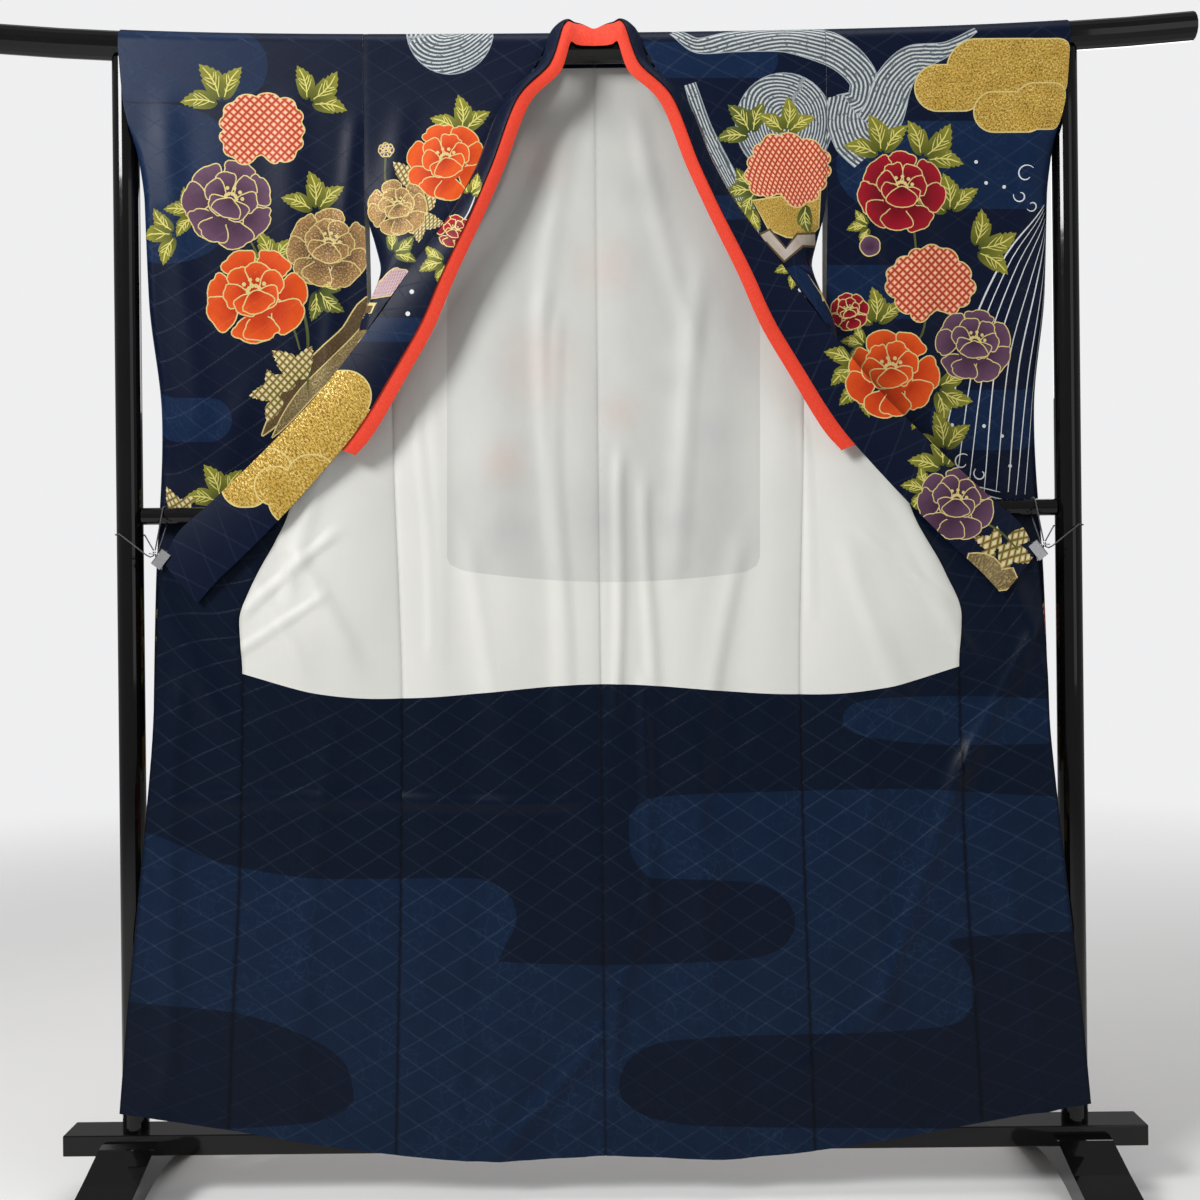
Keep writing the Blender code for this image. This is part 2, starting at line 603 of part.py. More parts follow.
def make_clip(name, side, collection):
    """Folded plate: its section runs front, spine, back, and is extruded along
    the collar end."""
    half = CLIP_SLOT / 2
    section = ((-CLIP_BITE, -half), (-CLIP_BITE + 0.004, -half), (0.0, -half), (0.002, -half + 0.002),
               (0.002, half - 0.002), (0.0, half), (-CLIP_BITE + 0.004, half), (-CLIP_BITE, half))
    along = (math.sin(CLIP_TURN), math.cos(CLIP_TURN))
    across = (math.cos(CLIP_TURN), -math.sin(CLIP_TURN))
    verts = []
    for k in np.linspace(-0.5, 0.5, 5):
        for out, depth in section:
            x = CLIP_AT[0] + out * across[0] + k * CLIP_LONG * along[0]
            z = CLIP_AT[2] + out * across[1] + k * CLIP_LONG * along[1]
            verts.append((side * x, CLIP_AT[1] + depth, z))
    cols = len(section)
    faces = []
    for i in range(4):
        for j in range(cols - 1):
            a = i * cols + j
            faces.append((a, a + 1, a + cols + 1, a + cols))
    plate = sheet(name, verts, faces, CLIP_PLATE, STEEL, 0.25, collection)
    plate.data.materials[0].node_tree.nodes["Principled BSDF"].inputs["Metallic"].default_value = 0.95
    bpy.ops.mesh.primitive_torus_add(major_segments=16, minor_segments=6, major_radius=RING_R,
                                     minor_radius=RING_WIRE,
                                     location=(side * RING_AT[0], RING_AT[1], RING_AT[2]))
    ring = bpy.context.active_object
    ring.name = name + "_ring"
    bpy.context.view_layer.update()
    join = plate.modifiers.new("ring", "BOOLEAN")
    join.operation = "UNION"
    join.solver = "EXACT"
    join.object = ring
    bpy.context.view_layer.objects.active = plate
    bpy.ops.object.modifier_apply(modifier="wall")
    bpy.ops.object.modifier_apply(modifier="ring")
    bpy.data.objects.remove(ring, do_unlink=True)


def make_cords(tag, side, collection):
    """Taut loops from the ring round the post and over the crossbar."""
    rx, ry, rz = RING_AT
    around = []
    for angle in np.linspace(-63.0, 151.0, 13):
        turn = math.radians(angle)
        around.append((POST_X + 0.0206 * math.cos(turn), 0.0206 * math.sin(turn), rz + 0.030))
    loop = [(rx + 0.001, ry - 0.0014, rz + 0.003), (rx + 0.001, ry - 0.0014, rz - 0.003),
            (rx + 0.0055, ry - 0.0014, rz - 0.0048), (rx + 0.0110, ry - 0.0014, rz - 0.0020)]
    path = [(side * x, y, z) for x, y, z in loop + around]
    tube("cord_post_" + tag, path, 0.0010, True, CORD_BLACK, 0.7, 0.0, collection)
    over = []
    for angle in np.linspace(-52.0, 150.0, 12):
        turn = math.radians(angle)
        over.append((rx - 0.0005, 0.0141 * math.cos(turn), BAR_Z + 0.0141 * math.sin(turn)))
    loop = [(rx - 0.0005, ry + 0.0022, rz + 0.003), (rx - 0.0005, ry + 0.0022, rz - 0.003),
            (rx - 0.0005, ry + 0.0062, rz - 0.0050), (rx - 0.0005, ry + 0.0098, rz - 0.0020)]
    path = [(side * x, y, z) for x, y, z in loop + over]
    tube("cord_bar_" + tag, path, 0.0010, True, CORD_BLACK, 0.7, 0.0, collection)


def main():
    clear_scene()
    collection = bpy.data.collections.new("furisode")
    bpy.context.scene.collection.children.link(collection)
    make_stand(collection)
    for tag, side in (("L", -1), ("R", 1)):
        make_body(tag, side, collection)
        make_overlap(tag, side, collection)
        make_sleeve("sleeve_" + tag, side, collection)
        make_clip("clip_" + tag, side, collection)
        make_cords(tag, side, collection)
    shell("collar", collar_rows(31, 6), BAND, NAVY, 0.5, collection)
    shell("inner_collar", inner_rows(), LINING, RED, 0.6, collection)


main()
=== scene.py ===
"""Looks of the furisode on its stand: cloth pieces, painted pattern, finishes, light.

Metres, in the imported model's frame. Painted places are given across and down in
a 1200 by 1200 view from the camera, and put on the plane y = 0 by place().
"""
import math

import bpy
import numpy as np
from mathutils.geometry import delaunay_2d_cdt
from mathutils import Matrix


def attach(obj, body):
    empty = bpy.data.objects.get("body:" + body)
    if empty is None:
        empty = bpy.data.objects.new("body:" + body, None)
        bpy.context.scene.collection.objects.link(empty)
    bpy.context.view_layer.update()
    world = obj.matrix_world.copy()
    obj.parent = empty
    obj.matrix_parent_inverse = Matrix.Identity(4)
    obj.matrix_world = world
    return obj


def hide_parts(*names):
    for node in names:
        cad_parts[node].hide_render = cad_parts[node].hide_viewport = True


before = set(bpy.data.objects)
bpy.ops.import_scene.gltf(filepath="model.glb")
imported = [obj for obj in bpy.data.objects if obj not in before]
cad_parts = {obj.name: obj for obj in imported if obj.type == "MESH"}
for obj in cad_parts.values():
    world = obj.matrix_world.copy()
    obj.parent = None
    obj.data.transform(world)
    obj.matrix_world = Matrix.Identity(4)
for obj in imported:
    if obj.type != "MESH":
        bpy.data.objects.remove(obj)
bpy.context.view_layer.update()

SIDES = (("L", -1), ("R", 1))

# Camera: height, distance to the painted plane, width of the view and focal length
# in view units, sensor in millimetres, roll
EYE_Z = 0.87
REACH = 2.03
VIEW = 1200.0
FOCAL = 1380.0
SENSOR = 36.0
TILT = math.radians(0.6)

# Sizes shared with the solids: walls of the outer cloth and the lining, distance of
# their middles, gap at a seam, wall of the collar band, rail, posts and crossbar,
# radius of the cloth's middle over the rail, the right clip's ring
CLOTH = 0.0012
LINING = 0.0010
LAYER = 0.0016
SEAM = 0.0001
BAND = 0.0030
RAIL_R = 0.021
RAIL_Z = 1.680
POST_X = 0.690
BAR_Z = 1.000
FOLD_R = RAIL_R + 0.0008 + CLOTH / 2
RING = (0.6389, -0.0490, 0.9431)

# Tie cords: radius of the loops round a post and round the crossbar
POST_LOOP = 0.0206
BAR_LOOP = 0.0141

# Sewn shells: wall of the outer cloth and of the lining, cell of the search for
# painted outlines, how far off the panel a small shape may lie
SHELL = 0.0009
THIN_SHELL = 0.0007
CELL = 0.0016
OFF_PANEL = 0.0015

# Spacing of the mesh on the panels, and how far from a sewn edge a lining gets painted shade
BODY_STEP = 0.0075
SLEEVE_STEP = 0.0065
LINING_STEP = 0.0050
COLLAR_STEP = 0.0055
INNER_STEP = 0.0045
SEAM_SHADE = 0.0024

# Woven silk: width and height of its diamonds, one turn of the sine in its ribs.
# Floor: half its width
DIAMOND_X = 0.064
DIAMOND_Y = 0.042
TURN = 6.2832
FLOOR = 9.0

# Streams: distance of their fine lines, and how many the share in "touch" spans
LINE_PITCH = 0.0058
LINES_MOST = 40.0

# Dotted flowers: distance of the dots. Body panel: its side seam at the shoulder
DOT_PITCH = 0.0118
SHOULDER_X = 0.3365

# Strength of the creases on body and sleeve, and the deepest troughs
BODY_GAIN = 2.4
SLEEVE_GAIN = 2.0
DEEPEST = -0.0018
LINING_DEEPEST = -0.0002

# Side seam: height and half width
SIDE = (
    (1.700, 0.3365), (1.480, 0.3365), (1.440, 0.3340), (1.385, 0.3210),
    (1.330, 0.3105), (1.270, 0.3060), (1.200, 0.3030), (1.040, 0.2980),
    (0.860, 0.2920), (0.730, 0.2895), (0.450, 0.2935), (0.250, 0.2985),
    (0.060, 0.3035),
)

# Back panel: height and depth
BACK_DEPTH = (
    (1.700, 0.0222), (1.640, 0.0215), (1.500, 0.0150), (1.330, 0.0050),
    (1.150, -0.0065), (1.040, -0.0152), (0.970, -0.0160), (0.600, -0.0215),
    (0.300, -0.0280), (0.120, -0.0315), (0.050, -0.0318),
)

FRONT = (
    # side z   mid x    mid y    mid z    seam x   seam y   seam z   edge x   edge y   edge z
    (1.6400, 0.2150, -0.0235, 1.6400, 0.0900, -0.0262, 1.6400, 0.0860, -0.0262, 1.6400),
    (1.5800, 0.2380, -0.0250, 1.5780, 0.1410, -0.0300, 1.5780, 0.1370, -0.0300, 1.5780),
    (1.5000, 0.2520, -0.0300, 1.4950, 0.1740, -0.0340, 1.4960, 0.1700, -0.0340, 1.4960),
    (1.4500, 0.2670, -0.0340, 1.4430, 0.2030, -0.0370, 1.4430, 0.1985, -0.0370, 1.4430),
    (1.3900, 0.2900, -0.0350, 1.3820, 0.2440, -0.0395, 1.3840, 0.2380, -0.0400, 1.3860),
    (1.3350, 0.3180, -0.0310, 1.3270, 0.2840, -0.0410, 1.3290, 0.2780, -0.0425, 1.3300),
    (1.2700, 0.3450, -0.0290, 1.2620, 0.3270, -0.0425, 1.2680, 0.3220, -0.0435, 1.2700),
    (1.2000, 0.3540, -0.0280, 1.1840, 0.3685, -0.0425, 1.1975, 0.3740, -0.0450, 1.2020),
    (1.1200, 0.3760, -0.0300, 1.0930, 0.4200, -0.0400, 1.0930, 0.4470, -0.0470, 1.1200),
    (1.0400, 0.3860, -0.0350, 0.9980, 0.4530, -0.0380, 0.9880, 0.5270, -0.0480, 1.0430),
    (0.9500, 0.4000, -0.0390, 0.9080, 0.4960, -0.0390, 0.9080, 0.6000, -0.0480, 0.9750),
    (0.8600, 0.4080, -0.0420, 0.8340, 0.5200, -0.0410, 0.8420, 0.6270, -0.0465, 0.9280),
    (0.7300, 0.4050, -0.0370, 0.7380, 0.5165, -0.0400, 0.7690, 0.6400, -0.0440, 0.8050),
    (0.6300, 0.4050, -0.0330, 0.6400, 0.5180, -0.0385, 0.6650, 0.6460, -0.0430, 0.6850),
    (0.4500, 0.4080, -0.0340, 0.4560, 0.5240, -0.0385, 0.4700, 0.6660, -0.0430, 0.4800),
    (0.2500, 0.4150, -0.0350, 0.2620, 0.5350, -0.0385, 0.2800, 0.6860, -0.0420, 0.2950),
    (0.0700, 0.4200, -0.0350, 0.0880, 0.5430, -0.0385, 0.1110, 0.7000, -0.0410, 0.1370),
)
# Rows of FRONT: the overlap's top, where the front opens out, the navy's top, hem
OVERLAP_TOP = 7.0
OPEN_OUT = 6.5
NAVY_ROW = 12.0
LAST_ROW = 16.0

COLLAR = (
    # seam x   seam y   seam z   mid x    mid y    mid z    free x   free y   free z
    (0.6260, -0.0508, 0.9320, 0.6020, -0.0535, 0.9010, 0.5770, -0.0525, 0.8710),
    (0.6050, -0.0520, 0.9710, 0.5770, -0.0550, 0.9370, 0.5480, -0.0540, 0.9030),
    (0.5550, -0.0520, 1.0170, 0.5250, -0.0555, 0.9820, 0.4980, -0.0545, 0.9500),
    (0.4700, -0.0515, 1.0980, 0.4390, -0.0555, 1.0640, 0.4130, -0.0545, 1.0380),
    (0.4000, -0.0502, 1.1710, 0.3700, -0.0550, 1.1400, 0.3450, -0.0545, 1.1180),
    (0.3450, -0.0490, 1.2400, 0.3180, -0.0545, 1.2180, 0.2950, -0.0545, 1.1980),
    (0.3000, -0.0474, 1.3000, 0.2740, -0.0535, 1.2880, 0.2510, -0.0550, 1.2740),
    (0.2620, -0.0452, 1.3560, 0.2400, -0.0525, 1.3480, 0.2220, -0.0550, 1.3400),
    (0.2010, -0.0398, 1.4400, 0.1870, -0.0500, 1.4380, 0.1760, -0.0545, 1.4340),
    (0.1690, -0.0367, 1.5000, 0.1570, -0.0470, 1.4990, 0.1490, -0.0520, 1.4960),
    (0.1280, -0.0320, 1.6000, 0.1170, -0.0430, 1.5990, 0.1100, -0.0480, 1.5950),
    (0.0780, -0.0302, 1.6500, 0.0690, -0.0380, 1.6520, 0.0620, -0.0425, 1.6480),
    (0.0620, -0.0188, 1.6988, 0.0520, -0.0240, 1.7070, 0.0440, -0.0300, 1.7050),
    (0.0540, 0.0030, 1.7068, 0.0440, 0.0000, 1.7185, 0.0350, -0.0110, 1.7190),
    (0.0380, 0.0230, 1.6940, 0.0320, 0.0170, 1.7130, 0.0240, 0.0010, 1.7190),
    (0.0000, 0.0262, 1.6660, 0.0000, 0.0225, 1.6940, 0.0000, 0.0030, 1.7100),
)

INNER = (
    # row of COLLAR, the edge that shows as x, y, z, bulge
    (3.63, 0.3490, -0.0500, 1.0810, 0.0010),
    (4.00, 0.3280, -0.0505, 1.1040, 0.0010),
    (5.00, 0.2775, -0.0505, 1.1870, 0.0010),
    (6.00, 0.2335, -0.0505, 1.2640, 0.0010),
    (7.00, 0.2045, -0.0500, 1.3320, 0.0010),
    (8.00, 0.1590, -0.0490, 1.4280, 0.0010),
    (9.00, 0.1310, -0.0465, 1.4920, 0.0010),
    (10.0, 0.0920, -0.0430, 1.5890, 0.0010),
    (11.0, 0.0470, -0.0395, 1.6360, 0.0015),
    (12.0, 0.0330, -0.0345, 1.6780, 0.0040),
    (13.0, 0.0260, -0.0335, 1.6740, 0.0080),
    (14.0, 0.0160, -0.0315, 1.6730, 0.0100),
    (15.0, 0.0000, -0.0300, 1.6730, 0.0100),
)

SLEEVE = (
    # height, inner edge, outer edge, front layer y, back layer y
    (1.680, 0.3372, 0.6930, -0.0223, 0.0223),
    (1.600, 0.3372, 0.6860, -0.0226, 0.0226),
    (1.520, 0.3372, 0.6670, -0.0226, 0.0228),
    (1.460, 0.3370, 0.6620, -0.0215, 0.0235),
    (1.320, 0.3360, 0.6600, -0.0100, 0.0260),
    (1.150, 0.3370, 0.6460, 0.0050, 0.0285),
    (1.060, 0.3380, 0.6500, 0.0165, 0.0300),
    (0.900, 0.3400, 0.6600, 0.0170, 0.0305),
    (0.600, 0.3440, 0.6680, 0.0165, 0.0290),
)
SLEEVE_LOW = 0.600
SLEEVE_CORNER = 0.070
SLEEVE_IN = 0.3372
SLEEVE_WIDTH = 0.3558
SHUT = 0.775            # share of the sleeve's height that is sewn shut outside

# Creases, in the view: from, to, half width, height towards the viewer, all in
# view units but the height, which is in millimetres
BODY_FOLDS = (
    (545, 310, 560, 700, 9, 1.6), (622, 470, 612, 700, 7, 1.5), (648, 500, 650, 690, 8, 1.4),
    (700, 300, 668, 560, 12, 1.3), (470, 560, 500, 690, 14, 1.2), (735, 560, 712, 690, 12, 1.3),
    (430, 400, 445, 640, 10, 1.0), (640, 120, 690, 330, 10, 1.2), (575, 110, 545, 300, 10, 1.0),
    (598, 1028, 514, 1131, 10, 2.4), (646, 690, 646, 906, 7, 1.8), (646, 906, 618, 990, 8, 1.6),
    (618, 990, 610, 1155, 8, 1.4), (196, 800, 560, 796, 7, 1.5), (700, 770, 720, 1120, 16, 1.6),
    (470, 880, 452, 1120, 18, 1.6), (760, 740, 700, 900, 14, 1.2), (330, 760, 300, 1090, 18, 1.8),
    (865, 780, 890, 1090, 18, 1.8), (960, 761, 867, 1002, 12, 2.6), (867, 1002, 813, 1058, 10, 1.8),
    (1016, 640, 960, 761, 12, 2.4), (1000, 900, 1040, 1100, 16, 2.2),
    (190, 700, 172, 1060, 14, 2.2), (300, 560, 345, 640, 12, 2.0), (262, 590, 300, 660, 10, 1.8),
    (880, 470, 935, 600, 12, 2.2), (850, 560, 900, 690, 12, 1.6), (330, 470, 300, 580, 10, 1.4),
    (170, 600, 215, 700, 12, 2.4), (1010, 600, 1050, 700, 12, 2.2), (400, 130, 372, 330, 12, 1.2),
    (815, 130, 845, 300, 12, 1.2),
)
# Pressed and pulled creases of the lining alone, in the same units
CREASES = (
    (598, 1028, 514, 1131, 5, 2.6), (646, 700, 646, 906, 5, 2.2), (646, 906, 618, 990, 5, 2.0),
    (618, 990, 610, 1155, 5, 1.8), (196, 800, 560, 796, 4, 2.0), (960, 761, 867, 1002, 6, 3.4),
    (867, 1002, 813, 1058, 5, 2.2), (1016, 640, 960, 761, 6, 3.0), (700, 770, 716, 1100, 7, 1.6),
    (470, 880, 456, 1110, 7, 1.6), (330, 760, 306, 1080, 8, 2.0), (870, 790, 888, 1080, 8, 2.0),
    (190, 700, 176, 1050, 7, 2.4), (1000, 900, 1036, 1090, 7, 2.4), (536, 1060, 470, 1140, 6, 1.8),
    (558, 330, 566, 690, 7, 2.2), (622, 480, 613, 700, 5, 2.4), (648, 505, 650, 690, 6, 2.2),
    (700, 320, 676, 560, 9, 1.8), (470, 570, 494, 690, 8, 2.0), (735, 570, 716, 690, 8, 2.0),
    (418, 420, 432, 640, 6, 2.0), (262, 604, 330, 548, 7, 3.5), (250, 644, 318, 604, 6, 2.6),
    (300, 560, 352, 640, 8, 2.6), (905, 560, 958, 640, 8, 3.0), (868, 540, 930, 592, 7, 3.5),
    (850, 580, 890, 680, 8, 2.2), (798, 430, 810, 600, 6, 1.8), (278, 520, 300, 580, 6, 2.4),
)
SLEEVE_FOLDS = (
    (170, 60, 190, 420, 16, 2.4), (300, 60, 292, 330, 18, 1.8), (352, 140, 330, 380, 9, 1.6),
    (240, 420, 190, 540, 14, 1.8), (1035, 60, 1000, 460, 16, 2.4), (915, 150, 930, 480, 18, 1.8),
    (862, 120, 880, 330, 9, 1.6), (990, 420, 1030, 560, 12, 1.8), (150, 250, 165, 520, 9, 1.2),
    (1062, 120, 1040, 320, 8, 1.4), (200, 640, 210, 950, 18, 2.2), (1010, 640, 990, 950, 18, 2.2),
)


def cubic(a, b, rise_a, rise_b, size, f):
    """Cubic piece between two values with their slopes."""
    return (a * (1 + 2 * f) * (1 - f) ** 2 + rise_a * size * f * (1 - f) ** 2
            + b * f * f * (3 - 2 * f) + rise_b * size * f * f * (f - 1))


def blend(keys, values, at):
    """Smooth curve through a table: cubic pieces with slopes from the neighbours."""
    keys = np.asarray(keys, float)
    values = np.asarray(values, float)
    at = np.asarray(at, float)
    steps = np.diff(keys)
    rise = np.diff(values, axis=0) / steps.reshape((-1,) + (1,) * (values.ndim - 1))
    slope = np.empty_like(values)
    slope[0] = rise[0]
    slope[-1] = rise[-1]
    same = rise[:-1] * rise[1:] > 0
    safe = np.where(same, rise[:-1] + rise[1:], 1.0)
    slope[1:-1] = np.where(same, 2 * rise[:-1] * rise[1:] / safe, 0.0)
    cell = np.clip(np.searchsorted(keys, at, side="right") - 1, 0, len(keys) - 2)
    shape = at.shape + (1,) * (values.ndim - 1)
    size = steps[cell].reshape(shape)
    f = np.clip(((at - keys[cell]) / steps[cell]).reshape(shape), 0.0, 1.0)
    return cubic(values[cell], values[cell + 1], slope[cell], slope[cell + 1], size, f)


def by_height(table, index, z):
    """A column of a table that goes down by height."""
    keys, values = np.array(table)[::-1, (0, index)].T
    return blend(keys, values, z)


def rail_centre(x):
    """Height of the rail's middle: it bends up towards its ends."""
    return RAIL_Z + 0.012 * x ** 2 + 0.026 * x ** 4


def unit(vectors):
    """Vectors of length one."""
    return vectors / (np.linalg.norm(vectors, axis=-1, keepdims=True) + 1e-12)


def over_rail(x, angle):
    """Cloth over the rail: x by column, angle by row, from the front to the back."""
    y = FOLD_R * np.sin(angle) + 0 * x
    return np.stack([x + 0 * angle, y, rail_centre(x) + FOLD_R * np.cos(angle)], axis=-1)


def back_point(f, z):
    """Back panel: f runs from the centre seam to the side seam, z down. Its depth
    follows a table, less waves that grow below the shoulder."""
    x = f * (by_height(SIDE, 1, z) - SEAM) + (1 - f) * SEAM / 2
    hang = np.clip((1.62 - z) / 0.5, 0.0, 1.0) * np.sin(np.pi * np.clip(f, 0, 1)) ** 0.5
    wave = 0.5 + 0.5 * np.sin(2 * np.pi * (2.3 * f + 0.12 * np.sin(3.0 * z)) + 0.6)
    y = by_height(BACK_DEPTH, 1, z) - 0.0045 * hang * wave
    return np.stack([x, y, z], axis=-1)


def front_points(t):
    """The four lines that carry the front at a row: side seam, middle, overlap seam
    and free edge. The side seam nears the back panel below the armhole."""
    data = blend(np.arange(len(FRONT), dtype=float), FRONT, t)
    side_z = data[..., 0]
    joined = np.clip((1.445 - side_z) / 0.145, 0.0, 1.0)
    joined = joined * joined * (3 - 2 * joined)
    side_y = (1 - joined) * -0.0222 + joined * by_height(BACK_DEPTH, 1, side_z)
    side = np.stack([by_height(SIDE, 1, side_z) + SEAM / 2, side_y, side_z], axis=-1)
    return side, data[..., 1:4], data[..., 4:7], data[..., 7:10]


def through(a, m, b, f):
    """Parabola through three points."""
    f = f[..., None]
    return a * (1 - f) * (1 - 2 * f) + m * 4 * f * (1 - f) + b * f * (2 * f - 1)


def arc(points, share, low, high):
    """Smooth line through four points with their distances as its parameter: the
    stretch from point low to point high, at shares of its length."""
    gaps = [np.linalg.norm(points[i + 1] - points[i], axis=-1) + 1e-6 for i in range(3)]
    slopes = [(points[i + 1] - points[i]) / gaps[i][..., None] for i in range(3)]
    ease = [None] * 4
    for i in (1, 2):
        before = gaps[i - 1][..., None]
        after = gaps[i][..., None]
        ease[i] = (slopes[i - 1] * after + slopes[i] * before) / (before + after)
    ease[0] = 2 * slopes[0] - ease[1]
    ease[3] = 2 * slopes[2] - ease[2]
    starts = [0 * gaps[0], gaps[0], gaps[0] + gaps[1], gaps[0] + gaps[1] + gaps[2]]
    along = starts[low] + share * (starts[high] - starts[low])
    out = np.zeros_like(points[0])
    for i in range(3):
        within = (along >= starts[i]) & ((along < starts[i + 1]) | (i == 2))
        f = np.clip((along - starts[i]) / gaps[i], 0.0, 1.0)[..., None]
        piece = cubic(points[i], points[i + 1], ease[i], ease[i + 1], gaps[i][..., None], f)
        out = np.where(within[..., None], piece, out)
    return out


def overlap_point(f, t):
    """Overlap panel: f from its seam to the free edge, t the row of FRONT."""
    points = front_points(t)
    length = np.linalg.norm(points[3] - points[2], axis=-1) + 1e-6
    near = np.minimum(SEAM / length, 0.4)
    return arc(points, near + f * (1 - near), 2, 3)


def hem_height(f):
    """Height of the back hem from the centre seam to the side seam."""
    return np.interp(f, (0.0, 0.35, 0.65, 1.0), (0.067, 0.061, 0.060, 0.070))


def navy_height(f):
    """Height at which the navy lining meets the ivory one."""
    return 0.7475 - 0.0175 * f * f * (3 - 2 * f)


def band_points(row, f):
    """Collar band: row runs up to the nape, f across the band, a parabola."""
    data = blend(np.arange(len(COLLAR), dtype=float), COLLAR, row)
    return through(data[..., 0:3], data[..., 3:6], data[..., 6:9], f)


def both_sides(rows):
    """Rows up to the nape, then their mirror image."""
    return np.concatenate([rows, rows[-2::-1] * np.array([-1.0, 1.0, 1.0])])


def grid_normals(points):
    """Unit normals of a grid of points: along its columns cross along its rows."""
    return unit(np.cross(np.gradient(points, axis=1), np.gradient(points, axis=0)))


def metres(size):
    """Size in the view, as metres on the plane y = 0."""
    return size * REACH / FOCAL


def place(spots):
    """Spots across and down in the view, as metres on the plane y = 0."""
    spots = np.asarray(spots, float)
    dx = spots[..., 0] - VIEW / 2
    dy = spots[..., 1] - VIEW / 2
    return metres(np.stack([dx - TILT * dy, -(dy + TILT * dx)], axis=-1)) + np.array([0.0, EYE_Z])


def seen(points):
    """Where the camera sees points on the plane y = 0."""
    near = REACH / (REACH + points[..., 1])
    return np.stack([points[..., 0] * near, EYE_Z + (points[..., 2] - EYE_Z) * near], axis=-1)


def flat_on(points):
    """Points on the plane y = 0, straight along y."""
    return points[..., 0::2]


def folds(table, x, z):
    """Height of the creases: each a soft ridge along a line, fading past its ends."""
    total = np.zeros_like(x)
    for x0, y0, x1, y1, width, height in table:
        a = place((x0, y0))
        b = place((x1, y1))
        span = np.linalg.norm(b - a)
        ahead = (b - a) / span
        along = (x - a[0]) * ahead[0] + (z - a[1]) * ahead[1]
        off = (z - a[1]) * ahead[0] - (x - a[0]) * ahead[1]
        off = off + 0.006 * np.sin(9.0 * along + 3.0 * a[0] + 20.0 * a[1])
        past = np.maximum(np.maximum(-along, along - span), 0.0)
        size = width * metres(1.0)
        ridge = np.exp(-(off / size) ** 2) - 0.35 * np.exp(-(off / (2.4 * size)) ** 2)
        total += height * 0.001 * ridge * np.exp(-(past / (2.5 * size)) ** 2)
    return total


def ripple(x, z, seed):
    """Low uneven waves: four crossing sines of unlike lengths."""
    total = np.zeros_like(x)
    for k in range(4):
        lean = 0.35 * math.sin(seed * 1.7 + 2.1 * k)
        pace = 34.0 + 19.0 * k
        run = np.sin(pace * (x + lean * z) + seed * (k + 1.3))
        total += run * np.sin(5.0 * z + seed + k) / (1.6 + k)
    return 0.00035 * total


def body_lift(x, z, side):
    """Creases and waves of the body's outer cloth, towards the viewer."""
    return np.maximum(BODY_GAIN * folds(BODY_FOLDS, x, z) + ripple(x, z, 3.0 + side), DEEPEST)


def fade_in(value, width):
    """0 below nought, 1 above the width, straight between."""
    return np.clip(value / width, 0.0, 1.0)


class Cloth:
    """Dense grid of one sewn panel, with its outward normals, its own scale in metres
    along columns (u) and rows (v), and its views. A view is the first and last row
    to fit, the painted plane, and the first and last row that are painted."""

    def __init__(self, points, outward, views, side=1.0):
        turned = np.array([side, 1.0, 1.0])
        self.points = points * turned
        self.normals = outward * turned
        self.views = views
        over = np.linalg.norm(np.diff(self.points, axis=1), axis=-1).mean(axis=0)
        down = np.linalg.norm(np.diff(self.points, axis=0), axis=-1).mean(axis=1)
        self.u = np.concatenate([[0.0], np.cumsum(np.maximum(over, 1e-6))])
        self.v = np.concatenate([[0.0], np.cumsum(np.maximum(down, 1e-6))])
        self.wide = len(self.u)

    def read(self, field, row, col):
        """Field between grid points, carried on straight past the edges."""
        i = np.clip(row.astype(int), 0, len(self.v) - 2)
        j = np.clip(col.astype(int), 0, len(self.u) - 2)
        f = (row - i)[:, None]
        g = (col - j)[:, None]
        return (field[i, j] * (1 - f) * (1 - g) + field[i + 1, j] * f * (1 - g)
                + field[i, j + 1] * (1 - f) * g + field[i + 1, j + 1] * f * g)

    def find(self, spots, view):
        """Scale places (u, v) that show at painted spots, by Newton's steps, and how
        far the panel's nearest place lies from each spot."""
        first, last, plane = view[:3]
        field = plane(self.points)
        rows = np.arange(first, last + 1, 9)
        cols = np.arange(0, self.wide, 7)
        coarse = field[np.ix_(rows, cols)].reshape(-1, 2)
        best = ((spots[:, None, :] - coarse[None]) ** 2).sum(axis=-1).argmin(axis=1)
        row = rows[best // len(cols)].astype(float)
        col = cols[best % len(cols)].astype(float)
        for _ in range(15):
            i = np.clip(row.astype(int), first, last - 1)
            j = np.clip(col.astype(int), 0, self.wide - 2)
            f = (row - i)[:, None]
            g = (col - j)[:, None]
            a, b, c, d = field[i, j], field[i + 1, j], field[i, j + 1], field[i + 1, j + 1]
            value = a * (1 - f) * (1 - g) + b * f * (1 - g) + c * (1 - f) * g + d * f * g
            down = (b - a) * (1 - g) + (d - c) * g
            over = (c - a) * (1 - f) + (d - b) * f
            miss = spots - value
            det = cross(down, over)
            det = np.where(np.abs(det) < 1e-9, 1e-9, det)
            row = row + np.clip(cross(miss, over) / det, -25, 25)
            col = col + np.clip(cross(down, miss) / det, -12, 12)
        kept = self.read(field, np.clip(row, first, last - 0.001),
                         np.clip(col, 0, self.wide - 1.001))
        miss = np.linalg.norm(spots - kept, axis=-1)
        u = self.scale(self.u, col, 0, self.wide - 1)
        return np.stack([u, self.scale(self.v, row, first, last), miss], axis=-1)

    @staticmethod
    def scale(marks, index, first, last):
        """Marks between grid lines, carried on straight past the first and last."""
        k = np.clip(index.astype(int), first, last - 1)
        return marks[k] + (index - k) * (marks[k + 1] - marks[k])


def cross(a, b):
    """Cross products of flat vectors."""
    return a[:, 0] * b[:, 1] - a[:, 1] * b[:, 0]


